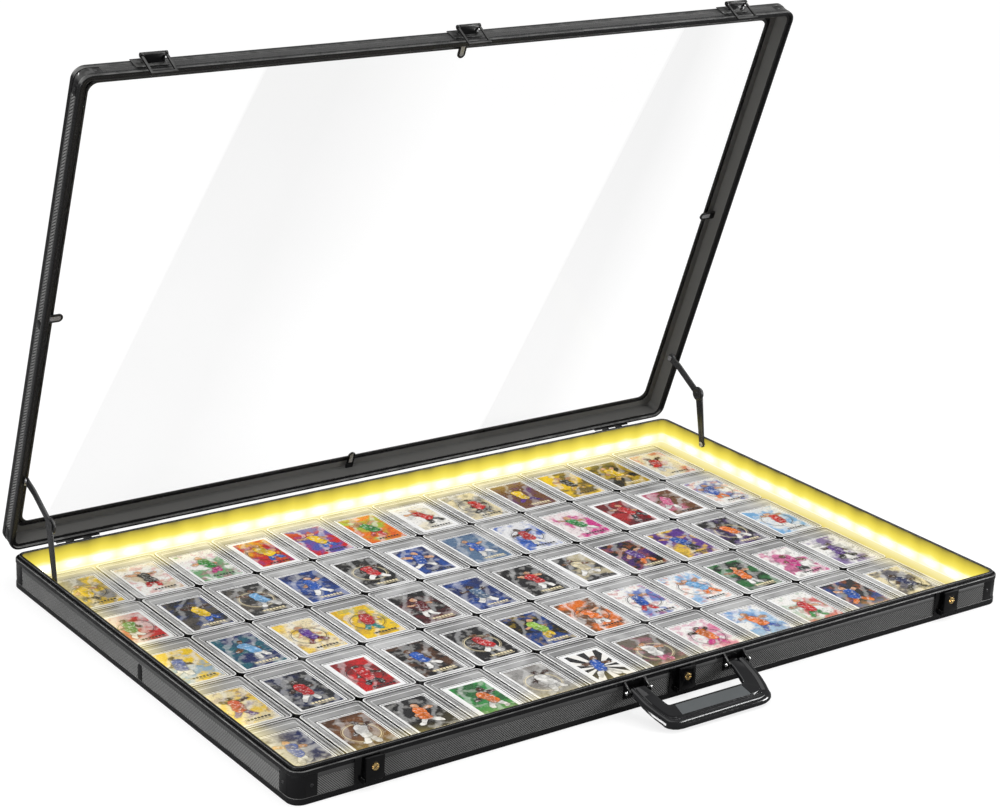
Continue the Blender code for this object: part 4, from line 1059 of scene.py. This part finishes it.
def figure_points(draw):
    """Give the points of one card's figure, on a card 1 high and 0.635 wide."""
    def step(start, low, high, length):
        angle = radians(draw.uniform(low, high))
        return (start[0] + length * cos(angle), start[1] + length * sin(angle), 0.0)

    chest = (draw.uniform(0.27, 0.37), draw.uniform(0.6, 0.66), 0.0)
    hip = step(chest, -110, -70, 0.19)
    return {
        "chest": chest, "hip": hip, "head": step(chest, 70, 110, 0.13),
        "hand_a": step(chest, 150, 235, draw.uniform(0.16, 0.22)),
        "hand_b": step(chest, -55, 40, draw.uniform(0.16, 0.22)),
        "foot_a": step(hip, 225, 262, draw.uniform(0.19, 0.25)),
        "foot_b": step(hip, 278, 315, draw.uniform(0.19, 0.25)),
    }


card_turn = 0.35
draw = random.Random(4)
slabs = slab_mesh()
cards = card_mesh()
card_drop = (-holder_size[1] / 2 + card_front_margin + card_size[1] / 2) * mm
for row in range(rows):
    entries = card_plan[row].split("|")
    for column in range(columns):
        centre = in_case @ Matrix.Translation((
            (holder_first[0] + column * holder_pitch[0]) * mm,
            (holder_first[1] - row * holder_pitch[1]) * mm, 0,
        ))
        label = str(row + 1) + "_" + str(column + 1)
        turn = Matrix.Rotation(radians(draw.uniform(-card_turn, card_turn)), 4, "Z")
        place_piece(
            "holder_" + label, slabs.copy(), slab_tones, "base", centre, smooth=12,
            replaced=() if column else ("card_holders_row_" + str(row + 1),),
        )
        card = place_piece(
            "card_" + label, cards.copy(), card_print, "base",
            centre @ Matrix.Translation((0, card_drop, 0)) @ turn,
        )
        layout, ground, second, main, accent = entries[column].split()
        pale_cloth = accent in ("tan", "brown")
        for key, ink in (
            ("ground", ground), ("second", second), ("main", main),
            ("accent", "white" if pale_cloth else accent),
            ("limb", draw.choice(("tan", "brown", "tan", "umber"))),
            ("bar", "cream" if layout in ("dark", "burst") else "charcoal"),
        ):
            card[key] = tone(*inks[ink])
        card["busy"] = busy_of[layout]
        card["burst"] = float(layout == "burst")
        card["border"] = float(layout in ("frame", "burst"))
        card["emblem"] = draw.choice((0.0, 0.0, 0.8))
        card["seed"] = draw.uniform(0, 40)
        for key, spot in figure_points(draw).items():
            card[key] = spot
slabs.free()
cards.free()

# Glass with two soft bands of glare, seal and clips

lid_edge_point = in_lid @ Vector((0, half_depth, base_height + seat_gap))
lid_up = (in_lid.to_3x3() @ Vector((0, -1, 0))).normalized()
# Each band: x and distance from the hinge edge at the top and the bottom of its sharp
# edge, then of the edge where it has faded out, in millimetres
glare_bands = (
    ((-226.7, 537.1, -382.0, 35.6), (12.9, 535.5, -76.1, 13.8)),
    ((292.0, 541.5, 164.9, 27.0), (371.6, 541.2, 346.3, 12.4)),
)


def glare_edge(height, edge):
    """Give x along a slanted edge at a distance from the hinge edge."""
    top_x, top_u, low_x, low_u = (value * mm for value in edge)
    slope = (top_x - low_x) / (top_u - low_u)
    return plus(times(minus(height, low_u), slope), low_x)


def glass_material():
    """Clear glass: see-through with two faint bands of painted glare and a thin reflection."""
    material = bpy.data.materials.new("clear glass")
    start_tree(material)
    place = object_place()
    from_edge = vectors("SUBTRACT", place, tuple(lid_edge_point))
    height = vectors("DOT_PRODUCT", from_edge, tuple(lid_up))
    x = split(place)[0]
    # Painted glare: the glass lets a little less light through inside the two bands, so they show
    # faintly grey.
    painted_glare = 0.0
    for sharp, faded in glare_bands:
        start = glare_edge(height, sharp)
        share = maths("DIVIDE", minus(x, start), minus(glare_edge(height, faded), start))
        streak = times(spread(share, 0.4, 1.0, 1.0, 0.0, False), spread(share, -0.006, 0.004))
        painted_glare = plus(painted_glare, streak)
    painted_glare = times(painted_glare, spread(noise(place, 6.0), 0.2, 0.8, 0.9, 1.1, False))
    colour = mixed(painted_glare, (0.995, 0.995, 0.995), (0.942, 0.942, 0.942))
    clear = node("BsdfTransparent", {"Color": colour})
    shine = node("BsdfGlossy", {"Color": (1, 1, 1), "Roughness": 0.02})
    share = times(node("Fresnel", {"IOR": 1.2}).outputs[0], 0.06)
    both = node("MixShader", {0: share, 1: clear.outputs[0], 2: shine.outputs[0]})
    node("OutputMaterial", {0: both.outputs[0]})
    return material


dress_node("glass_panel", glass_material())
seal_outline = ((17.6, 52.4, 0.2), (20.0, 52.4, 0.3), (20.0, 53.0, 0.3), (17.6, 53.4, 0.2))
place_piece("glass_seal", frame_ring(filleted(seal_outline)), seal_black, "lid")

# In millimetres
clip_radius = 4.6
clip_centre = 4.2
clip_tail = -14
clip_inset = 19.5
clip_height = 49.2


def glass_clip(side, along):
    """Make a half-round bumper over the edge of the glass, with a light centre."""
    outline = []
    for step in range(17):
        angle = -pi / 2 + pi * step / 16
        outline.append((clip_centre + clip_radius * cos(angle), clip_radius * sin(angle)))
    outline += [(clip_tail, clip_radius), (clip_tail, -clip_radius)]
    sections = [
        [
            ((clip_centre + (u - clip_centre) * scale) * mm, drop * mm, w * scale * mm)
            for u, w in outline
        ]
        for scale, drop in ((1.0, 0.0), (1.0, -1.2), (0.86, -1.7), (0.6, -1.7), (0.52, -1.2))
    ]
    where = side_frame(side) @ Matrix.Translation((clip_inset * mm, clip_height * mm, along))
    shape = loft(bmesh.new(), sections, where)
    shape.faces.ensure_lookup_table()
    shape.faces[-1].material_index = 1
    return shape


for side, along in (("right", -5 * mm), ("back", 13 * mm), ("left", 0), ("front", 0)):
    place_piece(
        "glass_clip_" + side, glass_clip(side, along), [hardware_black, steel_grey], "lid",
    )

# Rivets on the tabs of the corner caps

rivet_dome = dome(1.7, 0.3, 3)
rivet_gap = 5.5 * mm
for body, height in (("base", 17.6 * mm), ("lid", 43.4 * mm)):
    shape = bmesh.new()
    for side in sides:
        where = side_frame(side)
        outward = (where.to_3x3() @ Vector((-1, 0, 0))).normalized()
        for sign in (-1, 1):
            along = sign * (side_length(side) - corner_radius - rivet_gap)
            lathe(shape, where @ Vector((cap_step, height, along)), outward, rivet_dome, 12)
    place_piece(body + "_rivets", shape, stay_black, body)

# Clips at the middle of the side walls, where the rails are joined

wall_clip_radius = 4.5
for body, low, high in (("base", 7.2, 23.4), ("lid", 38.8, 48.0)):
    outline = [(-wall_clip_radius, low), (wall_clip_radius, low)]
    for step in range(9):
        angle = pi * step / 8
        outline.append((
            wall_clip_radius * cos(angle), high + wall_clip_radius * (sin(angle) - 1),
        ))
    middle = (low + high) / 2
    sections = [
        [
            (inset * mm, (middle + (up - middle) * size) * mm, along * size * mm)
            for along, up in outline
        ]
        for inset, size in ((1.0, 1.0), (0.25, 1.0), (0.06, 0.88))
    ]
    for side in ("left", "right"):
        place_piece(
            body + "_clip_" + side, loft(bmesh.new(), sections, side_frame(side)),
            hardware_black, body,
        )

# Camera at the photograph's viewing angle

camera_azimuth = radians(-36.485)
camera_elevation = radians(19.085)
camera_roll = radians(2.498)
camera_point = Vector((-1.4063, -1.8682 + case_y, 1.0156))
towards = Vector((
    -sin(camera_azimuth) * cos(camera_elevation), cos(camera_azimuth) * cos(camera_elevation),
    -sin(camera_elevation),
))
across = towards.cross(Vector((0, 0, 1))).normalized()
upward = across.cross(towards)
view_right = cos(camera_roll) * across + sin(camera_roll) * upward
view_up = -sin(camera_roll) * across + cos(camera_roll) * upward
camera_data = bpy.data.cameras.new("camera")
camera_data.sensor_width = 36
camera_data.lens = 87.896
camera_data.clip_end = 50
camera = bpy.data.objects.new("camera", camera_data)
camera.matrix_world = Matrix((
    (view_right.x, view_up.x, -towards.x, camera_point.x),
    (view_right.y, view_up.y, -towards.y, camera_point.y),
    (view_right.z, view_up.z, -towards.z, camera_point.z),
    (0, 0, 0, 1),
))
link(camera)
bpy.context.scene.camera = camera

# Soft studio light: name, place, the point that it faces, size and power

for name, point, target, size, power in (
    ("top light", (0.2, 0.1, 2.4), (0, 0, 0), (2.2, 1.6), 15),
    ("left light", (-2.0, -0.5, 0.4), (-0.4, -0.05, 0.02), (0.9, 0.5), 36),
    ("right light", (1.5, -1.3, 0.4), (0.42, -0.25, 0.02), (0.7, 0.4), 25),
    ("front edge light", (1.5, -0.8, 2.0), (0.1, -0.2, 0), (1.2, 0.18), 16),
    ("back edge light", (-0.8, 2.0, 1.5), (-0.1, 0.1, 0.1), (1.2, 0.18), 12),
):
    data = bpy.data.lights.new(name, "AREA")
    data.shape = "RECTANGLE"
    data.size, data.size_y = size
    data.energy = power
    light = bpy.data.objects.new(name, data)
    light.location = point
    facing = Vector(target) - Vector(point)
    light.rotation_euler = facing.to_track_quat("-Z", "Y").to_euler()
    link(light)

# World and floor: white where they are seen, and a plain level of light elsewhere

world_level = 0.42
floor_reach = 14
floor_drop = 0.2 * mm
# Own light of the floor, as (distance / 4 m, strength): with the lamps it comes to white
floor_fill = (
    (0.0, 0.755), (0.2, 0.755), (0.35, 0.765), (0.55, 0.81), (0.7, 0.84), (0.875, 0.865),
    (1.0, 0.88),
)


def seen():
    """Give 1 for a ray from the camera or through glass, and 0 for the rest."""
    path = node("LightPath").outputs
    return maths("MAXIMUM", path["Is Camera Ray"], path["Is Transmission Ray"])


def pale_world():
    """White world that lights the case plainly."""
    world = bpy.data.worlds.new("studio")
    bpy.context.scene.world = world
    start_tree(world)
    level = node("Mix", {0: seen(), 2: world_level, 3: 1.0}, data_type="FLOAT").outputs[0]
    light = node("Background", {"Color": (1, 1, 1), "Strength": level})
    node("OutputWorld", {0: light.outputs[0]})


def pale_floor():
    """Large white floor that keeps the case's shadow."""
    shape = bmesh.new()
    shape.faces.new([
        shape.verts.new((x * floor_reach, y * floor_reach, -floor_drop))
        for x, y in ((-1, -1), (1, -1), (1, 1), (-1, 1))
    ])
    mesh = bpy.data.meshes.new("floor")
    shape.to_mesh(mesh)
    shape.free()
    material, shader = start_material("pale floor")
    place = object_place()
    fill = steps(times(vectors("LENGTH", place), 0.25), tuple(
        (share, (level, level, level)) for share, level in floor_fill
    ))
    feed(shader, {
        "Base Color": mixed(noise(place, 3.0), (0.295, 0.295, 0.295), (0.305, 0.305, 0.305)),
        "Roughness": 0.9, "Specular IOR Level": 0.0, "Emission Color": (1, 1, 1),
        "Emission Strength": times(seen(), fill),
    })
    mesh.materials.append(material)
    floor = bpy.data.objects.new("floor", mesh)
    link(floor)


pale_world()
pale_floor()
bpy.context.scene.view_settings.view_transform = "Standard"
